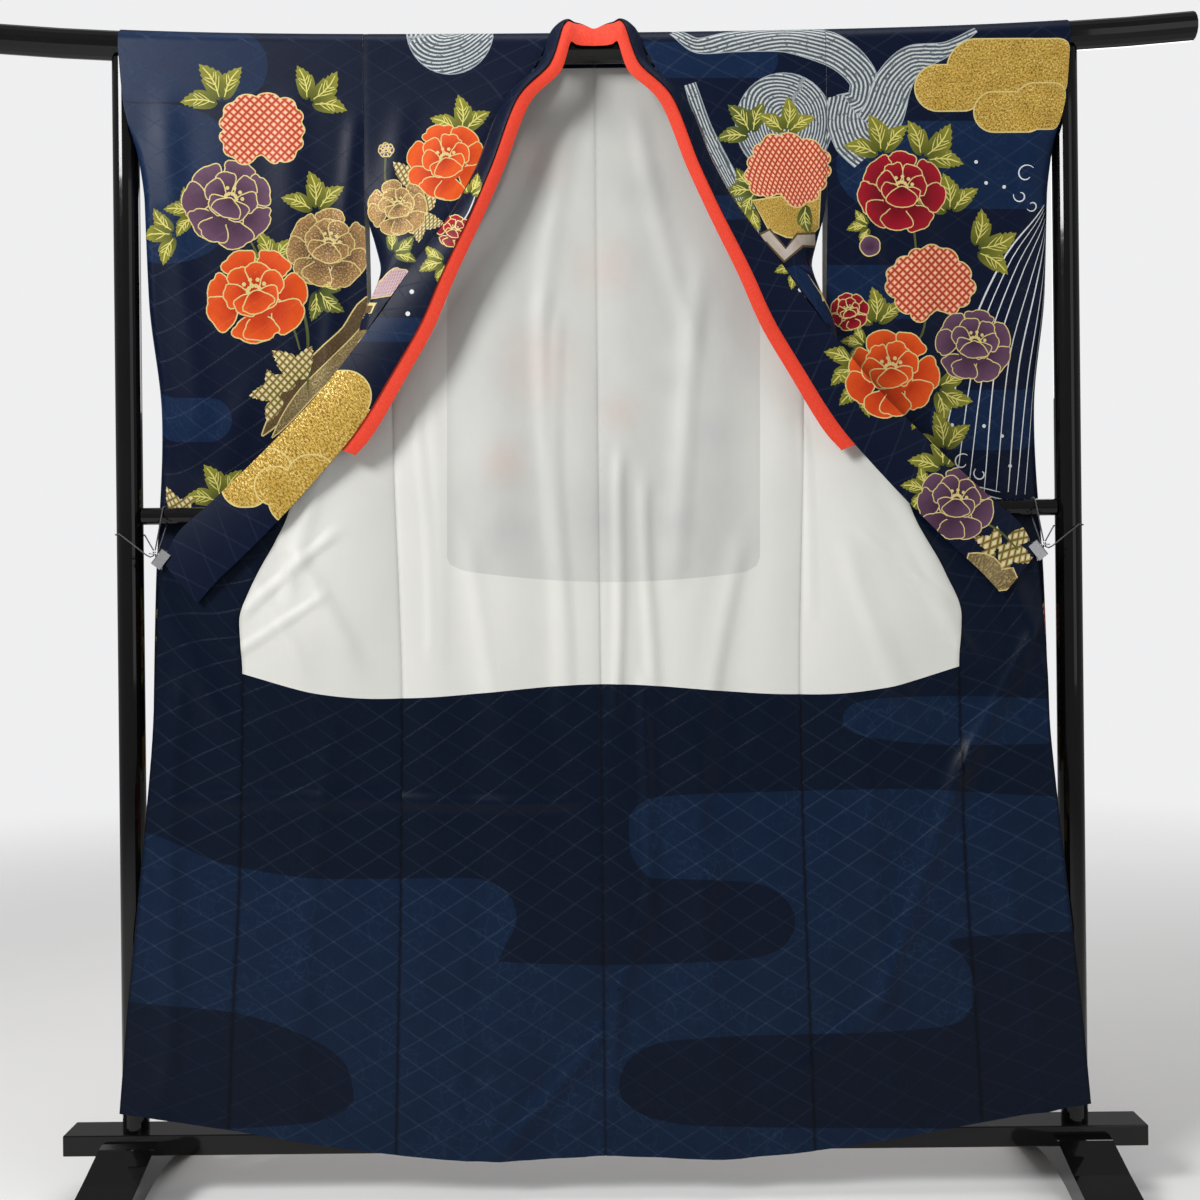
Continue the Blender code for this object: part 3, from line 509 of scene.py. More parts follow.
def ray(angle, over=1.0, up=1.0):
    """Ellipse points in the view, whose second axis runs down."""
    return np.stack([over * np.cos(angle), -up * np.sin(angle)], axis=-1)


def beside(spot, away, angle):
    """Spot at a distance and an angle from another, in the view."""
    return spot[0] + away * math.cos(angle), spot[1] - away * math.sin(angle)


def ring(centre, radius, count=36, lobes=0, depth=0.0, turn=0.0):
    """Circle whose rim dips between lobes."""
    angle = np.linspace(0.0, 2 * np.pi, count, endpoint=False)
    size = radius * (1 - depth + depth * np.abs(np.sin(0.5 * lobes * angle + turn)) ** 0.7)
    return np.array(centre) + ray(angle, size, size)


def inset(outline, width):
    """Outline moved in by a line's width."""
    ahead = np.roll(outline, -1, axis=0) - np.roll(outline, 1, axis=0)
    x, y = outline.T
    area = np.sum(x * np.roll(y, -1) - y * np.roll(x, -1))
    inward = unit(np.stack([-ahead[:, 1], ahead[:, 0]], axis=-1)) * np.sign(area)
    return outline + inward * width


def curve(spots, count):
    """Smooth line through spots, evenly spaced."""
    spots = np.asarray(spots, float)
    gaps = np.linalg.norm(np.diff(spots, axis=0), axis=-1)
    keys = np.concatenate([[0.0], np.cumsum(gaps)])
    return blend(keys, spots, np.linspace(0.0, keys[-1], count))


def strip(path, width, taper=0.0):
    """Outline of a line along a path; its width is one number or one a point."""
    ahead = unit(np.gradient(path, axis=0))
    across = np.stack([-ahead[:, 1], ahead[:, 0]], axis=-1)
    s = np.linspace(0.0, 1.0, len(path))
    half = (0.5 * width * (1 - taper * np.abs(2 * s - 1) ** 3))[:, None]
    return np.concatenate([path + across * half, (path - across * half)[::-1]])


def petal(root, turn, long, wide, lobes, lean, count):
    """Fan from its root outwards: an ellipse drawn wider towards its tip, whose rim
    dips between uneven lobes, the dip being one less the root of a folded cosine."""
    angle = np.linspace(-np.pi, np.pi, count, endpoint=False)
    phase = 0.5 * lobes * angle + 0.6 * np.sin(angle + lean)
    dip = 1 - 0.20 * (1 - np.abs(np.cos(phase)) ** 0.6) * (0.35 + 0.65 * np.cos(0.5 * angle) ** 2)
    along = long * (0.52 + 0.50 * np.cos(angle) * dip)
    over = 0.5 * wide * np.sin(angle) * (0.86 + 0.34 * np.cos(angle)) * dip
    return np.array(root) + np.stack([along * np.cos(turn) - over * np.sin(turn),
                                      -along * np.sin(turn) - over * np.cos(turn)], axis=-1)


# Style: inner colour, outer colour, cover inside, cover outside, gold, dots, tone
GOLD_LINE = (0.62, 0.50, 0.20)
VEIN = (0.60, 0.55, 0.15)
STYLES = {
    "line": (GOLD_LINE, GOLD_LINE, 1, 1, 0.12, 0, 0),
    "vein": (VEIN, VEIN, 1, 1, 0, 0, 0),
    "stalk": ((0.07, 0.085, 0.025), (0.10, 0.11, 0.03), 1, 1, 0, 0, 0),
    "orange": ((0.38, 0.016, 0.003), (0.70, 0.088, 0.012), 1, 1, 0, 0, 0),
    "crimson": ((0.085, 0.002, 0.006), (0.33, 0.008, 0.020), 1, 1, 0, 0, 0),
    "purple": ((0.040, 0.015, 0.035), (0.125, 0.060, 0.105), 1, 1, 0, 0, 0),
    "umber": ((0.050, 0.018, 0.022), (0.36, 0.20, 0.080), 1, 1, 0.50, 0, 0),
    "salmon": ((0.70, 0.18, 0.085), (0.74, 0.21, 0.105), 1, 1, 0, 1, 0),
    "wool": ((0.50, 0.44, 0.42), (0.42, 0.36, 0.30), 1, 1, 0.1, 0, 0),
    "fleck": ((0.62, 0.50, 0.60), (0.60, 0.48, 0.58), 1, 1, 0, 1, 0),
    "olive": ((0.060, 0.075, 0.012), (0.25, 0.24, 0.030), 1, 1, 0, 0, 0),
    "moss": ((0.035, 0.052, 0.012), (0.13, 0.15, 0.030), 1, 1, 0, 0, 0),
    "grid": ((0.34, 0.36, 0.10), (0.50, 0.50, 0.20), 1, 1, 0, 1, 0),
    "cloud": ((0.44, 0.27, 0.035), (0.48, 0.30, 0.045), 1, 1, 1, 0, 0),
    "haze": ((0.27, 0.21, 0.10), (0.16, 0.11, 0.05), 0.85, 0.85, 0.45, 0, 0),
    "brown": ((0.060, 0.035, 0.018), (0.10, 0.065, 0.030), 1, 1, 0.1, 0, 0),
    "stream": ((0.13, 0.15, 0.155), (0.10, 0.12, 0.135), 0.92, 0.92, 0, 0, 0),
    "white": ((0.62, 0.64, 0.64), (0.62, 0.64, 0.64), 1, 1, 0, 0, 0),
    "faint": ((0.30, 0.33, 0.35), (0.30, 0.33, 0.35), 1, 1, 0, 0, 0),
    "mid": ((0, 0, 0), (0, 0, 0), 0, 0, 0, 0, 1),
    "dark": ((0, 0, 0), (0, 0, 0), 0, 0, 0, 0, 0),
    "double": ((0.44, 0.445, 0.425), (0.44, 0.445, 0.425), 0.62, 0.62, 0, 0, 1),
    "blush": ((0.475, 0.385, 0.35), (0.44, 0.445, 0.425), 0.70, 0.62, 0, 0, 1),
    "shade": ((0.375, 0.385, 0.385), (0.44, 0.445, 0.425), 0.66, 0.62, 0, 0, 1),
}

# Petals of a peony: lean, distance of the root, length, width, in its radius. The
# first lie behind, the last ones make the cup before the stamens
PETALS = (
    (92, 0.34, 0.66, 0.90), (36, 0.36, 0.66, 0.92), (148, 0.36, 0.66, 0.92),
    (-10, 0.38, 0.66, 0.90), (192, 0.38, 0.66, 0.90), (-54, 0.34, 0.68, 0.92),
    (236, 0.34, 0.66, 0.92), (-94, 0.30, 0.64, 0.86), (118, 0.10, 0.56, 0.62),
    (62, 0.10, 0.56, 0.62), (172, 0.10, 0.54, 0.62), (8, 0.10, 0.54, 0.62), (212, 0.02, 0.50, 0.56),
    (-32, 0.02, 0.50, 0.58), (-90, -0.06, 0.52, 0.86),
)
BACK_PETALS = 8
CUP_FROM = 12


class Painting:
    """Painted shapes from the lowest to the topmost."""

    def __init__(self):
        self.shapes = []

    def add(self, outline, style, centre=None, radius=None, line=None):
        """One filled shape; its shade runs from the centre out to the radius."""
        outline = np.asarray(outline, float)
        if centre is None:
            centre = outline.mean(axis=0)
        if radius is None:
            radius = float(np.linalg.norm(outline - centre, axis=-1).max())
        self.shapes.append((outline, style, np.asarray(centre, float), radius, line))

    def each(self, kind, rows):
        """The same kind of shape for each row of its arguments."""
        for row in rows:
            kind(*row)

    def lined(self, outline, style, width, centre=None, radius=None):
        """Shape with a drawn gold edge."""
        outline = np.asarray(outline, float)
        self.add(outline, "line")
        self.add(inset(outline, width), style, centre, radius)

    def peony(self, x, y, r, style, seed, count=26):
        """Open peony: back petals, a few inner ones, stamens, and a cup before them."""
        rng = np.random.default_rng(seed)
        base = math.radians(rng.uniform(-26, 26))
        edge = max(0.026 * r, 1.0)
        heart = (x - 0.10 * r * math.sin(base), y - 0.10 * r * math.cos(base))
        for k, (lean, away, long, wide) in enumerate(PETALS):
            if k == BACK_PETALS:
                self.add(ring((x, y), 0.46 * r, 20), style, (x, y), 1.3 * r)
            if k == CUP_FROM:
                self.stamens(heart, r, base)
            number = k if k < CUP_FROM else k + 1
            behind = k < BACK_PETALS
            angle = math.radians(lean + rng.uniform(-8, 8)) + base
            root = beside((x, y) if behind else heart, away * r, angle)
            long *= r * rng.uniform(0.90, 1.02)
            wide *= r * rng.uniform(0.90, 1.05)
            lobes = 4 + (number + seed) % 3
            finer = count if behind else count - 6
            shape = petal(root, angle, long, wide, lobes, rng.uniform(0, 6), finer)
            self.lined(shape, style, edge, root, 1.05 * long)

    def stamens(self, heart, r, base):
        """Gold dots in two rows."""
        for k in range(9):
            spot = beside(heart, (0.13 if k < 5 else 0.26) * r,
                          base + math.radians(90 + (k % 5 - 2) * 34))
            self.add(ring(spot, 0.046 * r, 6), "line")

    def round_flower(self, x, y, r, turn=0.0):
        """Round flower of a dotted cloth: a rim of uneven lobes with one notch below."""
        angle = np.linspace(0.0, 2 * np.pi, 84, endpoint=False)
        phase = 6.5 * angle + 0.7 * np.sin(2 * angle + turn)
        size = 1 - 0.11 * (1 - np.abs(np.cos(phase)) ** 0.6)
        low = np.angle(np.exp(1j * (angle + 0.5 * np.pi + 0.35 * np.sin(3 * turn))))
        notch = 1 - 0.30 * np.exp(-(low / 0.22) ** 2)
        size = r * size * notch * (1 - 0.07 * np.cos(2 * angle + turn) ** 2)
        rim = np.array((x, y)) + ray(angle, 1.04 * size, 0.90 * size)
        self.lined(rim, "salmon", 1.3, (x, y), r)

    def leaf(self, x, y, turn, length, style, bend=0.12, wide=0.255):
        """Pointed leaf with teeth towards its tip and pale veins."""
        s = np.array((0.0, 0.08, 0.20, 0.36, 0.52, 0.64, 0.655, 0.76, 0.775, 0.88, 0.895, 1.0))
        tooth = np.array((1.0, 1.0, 1.0, 1.0, 1.02, 1.10, 0.86, 1.08, 0.80, 1.15, 0.72, 1.0))
        ahead = np.array(beside((0.0, 0.0), 1.0, math.radians(turn)))
        over = np.array([-ahead[1], ahead[0]])
        spine = np.array([x, y]) + np.outer(s * length, ahead)
        spine = spine + np.outer(bend * length * np.sin(np.pi * s), over)
        half = wide * length * np.sin(np.pi * s ** 0.80) ** 0.80 * tooth
        half[[0, -1]] = 0.0
        left = spine + np.outer(half, over)
        right = spine - np.outer(half, over)
        self.add(np.concatenate([left, right[-2:0:-1]]), style, (x, y), length)
        if style == "grid":
            return
        self.add(strip(spine[[1, 3, 5, 9]], 1.5, 0.4), "vein")
        for k in (2, 3, 4):
            for edge in (left, right):
                tip = 0.30 * spine[k + 2] + 0.70 * edge[k + 2]
                middle = 0.5 * spine[k] + 0.5 * tip + 0.05 * (edge[k] - spine[k])
                self.add(strip(np.stack([spine[k], middle, tip]), 1.1, 0.5), "vein")

    def sprig(self, x, y, turn, length, style="olive"):
        """Three leaves spread from one spot, each a little away from it."""
        for spread in (58, -58, 0):
            size = length * (1.0 if spread == 0 else 0.90)
            root = beside((x, y), 0.10 * length, math.radians(turn + spread))
            self.leaf(root[0], root[1], turn + spread, size, style, 0.10 if spread >= 0 else -0.10)

    def stem(self, spots, width=2.2):
        """Stalk through spots, finer at its ends."""
        self.add(strip(curve(spots, 4 * len(spots)), width, 0.3), "stalk")

    def area(self, style, spots, count, before=(), after=()):
        """Area within a smooth line, closed by straight ones before and after it."""
        start, end = (np.array(corners, float).reshape(-1, 2) for corners in (before, after))
        self.add(np.concatenate([start, curve(spots, count), end]), style)

    def stream(self, spots, width):
        """Band of fine lines; its width is one number or one a spot."""
        path = curve(spots, 9 * len(spots))
        width = np.interp(np.linspace(0, 1, len(path)), np.linspace(0, 1, np.size(width)),
                          np.ravel(width))
        self.add(strip(path, width + 2.0), "faint")
        self.add(strip(path, width), "stream", line=(path, width))

    def pool(self, x, y, r, turn=0.0, squash=1.0):
        """Round of fine lines about its middle."""
        rim = ray(np.linspace(0.0, 2 * np.pi, 40, endpoint=False), 1.0, squash)
        ahead = np.array(beside((0.0, 0.0), 1.0, turn))
        path = np.array([x, y]) + np.outer(np.linspace(-0.06, 0.06, 4) * r, ahead)
        self.add(np.array([x, y]) + (r + 1.0) * rim, "faint")
        self.add(np.array([x, y]) + r * rim, "stream", line=(path, np.full(4, 2.0 * r)))

    def lines(self, start, end, count, width, style):
        """Fine lines between two guide lines."""
        a = curve(start, 24)
        b = curve(end, 24)
        for k in range(count):
            q = k / (count - 1)
            self.add(strip(a * (1 - q) + b * q, width, 0.6), style)

    def cloud(self, *lobes):
        """Lobes with one gold edge about them all, each a circle drawn out sideways."""
        angle = np.linspace(0.0, 2 * np.pi, 44, endpoint=False)
        for grow, kind in ((0.0, "line"), (1.4, "cloud")):
            for x, y, r, long in lobes:
                away = np.stack([np.sign(np.cos(angle)) * long, 0 * angle], axis=-1)
                self.add(np.array([x, y]) + away + (r - grow) * ray(angle), kind, (x, y), r + long)

    def bar(self, x0, x1, y, half):
        """Long bar of the lighter tone, with round ends."""
        cap = ray(np.linspace(-0.5 * np.pi, 0.5 * np.pi, 13), half, half)
        run = np.linspace(x0, x1, int(abs(x1 - x0) / 10) + 2)[1:-1]
        low = np.stack([run, np.full(len(run), y + half)], axis=-1)
        top = np.stack([run[::-1], np.full(len(run), y - half)], axis=-1)
        self.add(np.concatenate([low, np.array([x1, y]) + cap, top, np.array([x0, y]) - cap]),
                 "mid")

    def dots(self, spots, r):
        """White dots of one size."""
        for spot in spots:
            self.add(ring(spot, r, 8), "white")

    def bouquet(self, x, y, size, seed):
        """Four flowers with leaves, for the sides the view doesn't show."""
        rng = np.random.default_rng(seed)
        kinds = list(rng.permutation(["orange", "crimson", "purple", "umber"]))
        turn = rng.uniform(0, 360)
        spots = [(0.0, 0.0, 1.0), (1.55, -0.75, 0.85), (-1.45, -0.55, 0.9), (0.35, -1.75, 0.88)]
        for px, py, s in spots:
            for lean in (35, 150, 265):
                angle = math.radians(turn + lean)
                bx = x + size * (px + 0.80 * s * math.cos(angle))
                by = y + size * (py - 0.80 * s * math.sin(angle))
                self.sprig(bx, by, turn + lean, 0.85 * size, "olive" if lean != 150 else "moss")
        for k, (px, py, s) in enumerate(spots):
            if k == 3:
                self.round_flower(x + size * px, y + size * py, 0.9 * size * s, turn)
            else:
                self.peony(x + size * px, y + size * py, size * s, kinds[k], seed + k)


def front_pattern():
    """Pattern of the outer cloth where the view shows it."""
    art = Painting()
    art.each(art.bar, (
        (60, 232, 66, 36), (60, 168, 184, 80), (90, 210, 420, 22), (560, 760, 60, 18),
        (880, 1100, 165, 44), (800, 918, 292, 27), (960, 1100, 420, 30), (700, 840, 350, 14)))
    art.stream(((672, 30), (700, 46), (735, 41), (780, 37), (822, 46), (850, 62), (864, 84),
                (858, 102), (838, 106)),
               (8, 14, 20, 26, 30, 32, 30, 26, 20))
    art.stream(((976, 30), (944, 50), (912, 60), (893, 84), (884, 112), (868, 140)),
               (3, 12, 26, 36, 40, 44))
    art.pool(784, 124, 48, 1.2, 1.05)
    art.stream(((836, 96), (842, 120), (856, 142), (868, 156)), (14, 30, 40, 34))
    art.stream(((690, 84), (704, 128), (722, 172), (742, 214), (752, 260)), (10, 14, 22, 26, 18))
    art.pool(450, 30, 43, 0.2, 1.02)
    art.cloud((1046, 66, 28, 12), (1004, 70, 32, 26), (950, 88, 24, 12), (982, 84, 24, 16))
    art.cloud((1044, 106, 24, 8), (1010, 112, 21, 16))
    bark = curve(((384, 290), (366, 306), (352, 334), (330, 356), (302, 384), (262, 436)), 22)
    art.lined(strip(bark, 26, 0.9), "brown", 1.4)
    bark = curve(((372, 316), (356, 342), (334, 366), (306, 394), (272, 438)), 18)
    art.lined(strip(bark, 17, 0.9), "haze", 1.2)
    # Falling water: four spots of each line, then its width
    for row in ((1046, 206, 1004, 258, 966, 345, 944, 440, 1.8),
                (1046, 210, 1010, 262, 976, 350, 955, 492, 1.1),
                (1047, 214, 1016, 268, 986, 355, 968, 492, 1.1),
                (1048, 220, 1022, 274, 996, 360, 984, 492, 1.2),
                (1049, 226, 1030, 282, 1008, 366, 996, 492, 1.1),
                (1050, 230, 1036, 288, 1018, 372, 1008, 492, 1.5),
                (1052, 238, 1042, 296, 1028, 380, 1016, 495, 1.1),
                (1053, 250, 1046, 306, 1036, 390, 1025, 495, 1.0)):
        art.add(strip(curve(np.reshape(row[:8], (4, 2)), 22), row[8], 0.5), "white")
    angle = np.linspace(0.3, 5.2, 16)
    for x, y, r, turn in ((1026, 174, 10, 0.4), (1040, 186, 8, 1.4), (1020, 196, 7, 2.6),
                          (1046, 202, 6, 0.2), (1032, 206, 6, 3.4), (962, 462, 9, 0.6),
                          (980, 474, 7, 2.0)):
        size = r * (1 - 0.10 * angle)
        art.add(strip(np.array([x, y]) + ray(angle + turn, size, size), 1.3, 0.5), "white")
    art.lines(((940, 492), (968, 486), (1000, 492)), ((946, 500), (972, 494), (1006, 500)), 2, 1.2,
              "white")
    art.dots(((976, 162), (986, 183), (1004, 187), (966, 195), (408, 292), (420, 314), (451, 327),
              (1002, 436), (984, 426), (1010, 466), (952, 425)), 1.9)
    art.stem(((300, 296), (308, 340), (308, 390)), 3.0)
    for spots in (((276, 300), (294, 330), (300, 350)), ((250, 240), (262, 262), (276, 280)),
                  ((386, 150), (385, 175), (392, 200)), ((900, 214), (914, 232), (916, 252)),
                  ((926, 318), (922, 334), (912, 346))):
        art.stem(spots)
    art.each(art.sprig, (
        (222, 104, 120, 42), (308, 104, 48, 40), (176, 234, 190, 34), (196, 214, 172, 30),
        (316, 212, 100, 38), (272, 268, 112, 36), (316, 288, -40, 34, "moss"),
        (300, 384, 130, 40, "grid"), (284, 396, 180, 32, "grid"), (222, 502, 116, 38),
        (176, 520, 110, 30, "grid"), (462, 134, 96, 36), (412, 190, 66, 34, "grid"),
        (412, 212, -20, 32, "grid"), (392, 254, 40, 26, "moss"), (752, 136, 128, 36, "moss"),
        (786, 134, 88, 34), (752, 206, 230, 26), (756, 190, 190, 30, "moss"), (882, 156, 108, 40),
        (922, 160, 52, 42), (950, 214, 100, 38), (974, 250, 22, 42), (876, 326, 96, 36),
        (936, 388, -20, 36), (866, 346, 170, 24), (944, 452, 104, 38), (870, 226, 190, 22)))
    art.lined(petal((366, 306), math.radians(42), 54, 24, 6, 1.0, 30), "fleck", 1.2)
    art.lined(((752, 200), (821, 190), (819, 228), (808, 240), (786, 238), (768, 230)), "cloud",
              1.4)
    zigzag = np.array(((752, 246), (768, 236), (785, 255), (800, 240), (815, 240)), float)
    art.add(strip(zigzag, 16), "brown")
    art.add(strip(zigzag, 11), "wool")
    art.leaf(806, 205, 278, 30, "moss")
    art.each(art.peony, (
        (229, 204, 46, "purple", 11), (328, 248, 42, "umber", 12), (256, 297, 50, "orange", 13)))
    art.round_flower(262, 130, 45)
    art.each(art.peony, (
        (447, 163, 40, "orange", 14), (398, 208, 30, "umber", 15), (386, 150, 8, "purple", 16)))
    art.round_flower(788, 170, 44, 0.7)
    art.each(art.peony, ((849, 312, 20, "crimson", 17), (901, 192, 43, "crimson", 18)))
    art.lined(ring((870, 246), 11, 26, 5, 0.06), "purple", 1.2)
    art.round_flower(930, 284, 45, 1.9)
    art.each(art.peony, ((974, 346, 39, "purple", 20), (892, 374, 46, "orange", 21)))
    for x, y in ((240, 660), (1010, 700), (215, 880), (985, 900)):
        art.bouquet(x, y, 40, x)
    art.cloud((1040, 750, 22, 10), (1020, 765, 18, 16), (160, 760, 22, 18))
    return art


def collar_pattern():
    """Pattern of the collar on either side of the opening."""
    art = Painting()
    art.cloud((344, 396, 26, 2), (322, 412, 34, 2), (352, 430, 26, 2), (296, 446, 36, 2),
              (330, 464, 30, 2))
    art.cloud((246, 486, 22, 3), (268, 470, 22, 2))
    art.cloud((296, 500, 26, 2), (276, 486, 20, 2), (312, 478, 24, 2))
    art.lines(((478, 190), (468, 214), (452, 236)), ((486, 196), (476, 220), (462, 244)), 3, 1.2,
              "white")
    art.each(art.sprig, ((446, 262, 200, 26), (470, 196, 70, 22)))
    art.peony(454, 232, 18, "crimson", 32, 18)
    art.each(art.sprig, (
        (944, 470, 108, 38), (930, 492, 168, 28), (1004, 540, -36, 34, "grid"),
        (998, 552, 150, 26, "grid"), (858, 366, 158, 34), (868, 386, 214, 32), (922, 398, -50, 34),
        (800, 268, 190, 24)))
    art.stem(((980, 520), (1000, 532), (1018, 550)))
    art.each(art.peony, ((892, 374, 46, "orange", 21), (956, 504, 39, "purple", 22)))
    art.lined(strip(curve(((966, 560), (986, 566), (1000, 580), (1016, 574)), 14), 24, 0.4), "haze",
              1.3)
    art.dots(((408, 314), (412, 292), (800, 290)), 2.4)
    art.each(art.bar, ((700, 780, 208, 12), (300, 420, 330, 12)))
    return art


def back_pattern():
    """Pattern of the outer cloth seen from behind, by the same hand."""
    art = Painting()
    art.each(art.bar, (
        (60, 380, 300, 34), (420, 760, 420, 40), (700, 1150, 250, 34), (90, 470, 640, 44),
        (560, 900, 700, 40), (840, 1150, 560, 36), (200, 640, 900, 46), (720, 1100, 930, 42),
        (40, 420, 1090, 38), (520, 1000, 1110, 42)))
    art.each(art.stream, (
        (((612, 40), (586, 110), (520, 170), (440, 205), (370, 270), (318, 372)),
         (46, 50, 46, 40, 30, 4)),
        (((622, 40), (662, 120), (730, 180), (820, 220), (890, 300), (966, 392)),
         (46, 50, 46, 40, 30, 4)),
        (((650, 400), (572, 470), (548, 580), (604, 680), (652, 790), (610, 900), (540, 1010),
          (520, 1170)),
         (4, 34, 54, 58, 54, 50, 54, 58)),
        (((300, 600), (372, 700), (396, 830), (372, 950), (424, 1060), (420, 1180)),
         (4, 26, 38, 40, 36, 34)),
        (((842, 560), (806, 680), (826, 800), (786, 920), (800, 1040), (860, 1180)),
         (4, 28, 36, 40, 36, 32))))
    art.each(art.pool, ((470, 640, 40, 0.6), (880, 470, 34, 0.2), (640, 960, 36, 1.0)))
    art.each(art.cloud, (
        ((240, 120, 34, 40), (200, 150, 26, 20), (300, 150, 26, 24)),
        ((930, 130, 34, 44), (1000, 156, 26, 22), (900, 164, 24, 18)),
        ((470, 330, 30, 40), (520, 356, 24, 24), (730, 560, 30, 44), (690, 590, 24, 24)),
        ((230, 700, 30, 44), (280, 724, 24, 20), (960, 820, 30, 40), (920, 846, 24, 22)),
        ((600, 1090, 32, 60), (560, 1120, 26, 30), (200, 1110, 30, 50), (1010, 1090, 30, 50))))
    for k, row in enumerate(((222, 330, 46), (985, 330, 46), (214, 600, 44), (985, 580, 44),
                             (470, 480, 44), (740, 330, 42), (690, 700, 48), (470, 900, 52),
                             (760, 1010, 50), (250, 1000, 46), (960, 1000, 46), (985, 800, 38),
                             (215, 810, 38))):
        art.bouquet(*row, 50 + 7 * k)
    return art


def lining_pattern():
    """Tone bars of the navy lining, the doubled part of the ivory lining, and the
    outer pattern that shows faintly through it."""
    art = Painting()
    art.area("mid", ((700, 886), (655, 880), (630, 850), (629, 818), (655, 797), (760, 792),
                     (900, 789), (1040, 796)),
             50, after=((1300, 800), (1300, 990), (560, 990), (560, 886)))
    art.add(((-100, 962), (1300, 962), (1300, 1300), (-100, 1300)), "mid")
    art.area("dark", ((480, 881), (620, 878), (750, 882), (785, 898), (796, 922), (782, 948),
                      (740, 960), (600, 965), (480, 961)), 50)
    art.area("mid", ((60, 812), (157, 836), (225, 864), (330, 879), (470, 878), (508, 893),
                     (517, 918), (504, 948),
                     (492, 975)), 50, before=(-100, 806), after=((492, 1000), (-100, 1000)))
    art.area("dark", ((60, 990), (130, 1002), (230, 1012), (305, 1036), (348, 1068), (354, 1098),
                      (320, 1121), (240, 1128),
                      (60, 1131)), 50, before=(-100, 985), after=(-100, 1132))
    art.area("dark", ((1120, 930), (1010, 934), (948, 942), (966, 960), (976, 990), (960, 1022),
                      (880, 1032), (740, 1036), (662, 1042), (628, 1060), (618, 1088), (640, 1114),
                      (700, 1126), (860, 1128),
                      (1120, 1129)), 90, before=(1300, 922), after=(1300, 1130))
    art.area("mid", ((1120, 702), (960, 696), (880, 698), (846, 708), (842, 724), (872, 738),
                     (960, 745), (1120, 742)), 40)
    art.area("double",
             ((447, 250), (447, 560), (470, 572), (610, 582), (745, 572), (760, 560), (760, 250)),
             90, after=((740, 60), (470, 60)))
    for style, rows in (
            ("blush",
             ((540, 366, 58), (604, 268, 44), (504, 462, 34), (620, 412, 30), (536, 160, 44))),
            ("shade", ((604, 520, 50), (712, 436, 36), (696, 310, 50), (512, 532, 32),
                       (668, 380, 26), (676, 524, 28), (640, 190, 36), (478, 300, 26),
                       (606, 120, 30)))):
        for x, y, r in rows:
            art.add(ring((x, y), r, 30), style, (x, y), r)
    return art


def body_cloth(side):
    """Body panel of one side, from the front hem over the shoulder to the back hem,
    and the rows where its stretches meet. In front its columns run from the side seam
    to the collar, behind to the centre seam."""
    f = np.linspace(0.0, 1.0, 96)
    t = np.concatenate([np.arange(LAST_ROW, OVERLAP_TOP, -0.05), np.arange(OVERLAP_TOP, 0.0, -0.06),
                        [0.0]])
    share, rows = np.meshgrid(f, t)
    front = arc(front_points(rows), share, 0, 2)
    angle = np.linspace(-90.0, 84.0, 24)
    near = np.interp(angle, (-90.0, -55.0, 0.0, 55.0, 84.0),
                     (0.069, 0.060, 0.053, 0.044, 0.030))[:, None]
    over = over_rail(SHOULDER_X + (near - SHOULDER_X) * f, np.radians(angle)[:, None])
    centre = 1 - f
    navy = navy_height(centre)
    top = np.linspace(1.672, 1.660, 4)[:-1, None] + 0 * f
    upper = 1.660 + np.linspace(0.0, 1.0, 170)[:, None] * (navy - 1.660)
    lower = navy + np.linspace(0.0, 1.0, 126)[1:, None] * (hem_height(centre) - navy)
    heights = np.concatenate([top, upper, lower])
    back = back_point(centre[None] + 0 * heights, heights)
    bridge = front[-1] + (over[0] - front[-1]) * np.linspace(0.0, 1.0, 14)[1:-1, None, None]
    points = np.concatenate([front, bridge, over, back])
    start = len(front) + len(bridge)
    end = start + len(over)
    ridge = start + len(over) // 2
    opened = int(np.argmin(np.abs(t - OPEN_OUT)))
    back_top = end + len(top)
    marks = {"navy_front": int(np.argmin(np.abs(t - NAVY_ROW))), "open_out": opened, "ridge": ridge,
             "back_top": back_top, "navy_back": back_top + len(upper) - 1}
    x, z = points[..., 0] * side, points[..., 2]
    lift = body_lift(x, z, side) * fade_in(1.62 - z, 0.08)
    points[..., 1] -= lift * (0.35 + 0.65 * fade_in(points[..., 0], 0.02))
    points -= (seam_dip(points) * 0.0004)[..., None] * -grid_normals(points)
    last = len(points) - 1
    return Cloth(points, -grid_normals(points), {
        "shown": (opened - 4, start + 3, seen, opened, ridge),
        "turned": (0, opened + 6, flat_on, 0, opened),
        "behind": (end - 4, last, flat_on, ridge, last),
        "inside_front": (0, opened, seen, 0, opened),
        "inside_back": (back_top - 2, last, seen, back_top - 2, last),
    }, side), marks


def seam_dip(points):
    """1 at the two sewn edges of a grid, 0 a few millimetres away, with puckers."""
    gap = np.linalg.norm(np.diff(points, axis=1), axis=-1)
    along = np.concatenate([0 * gap[:, :1], np.cumsum(gap, axis=1)], axis=1)
    edge = np.minimum(along, along[:, -1:] - along)
    down = np.cumsum(np.linalg.norm(np.diff(points[:, :1], axis=0, prepend=points[:1, :1]),
                                    axis=-1))[:, None]
    pucker = 1 + 0.35 * np.sin(down * 260.0) * np.sin(down * 43.0 + 1.0)
    return np.exp(-(edge / 0.0045) ** 2) * pucker


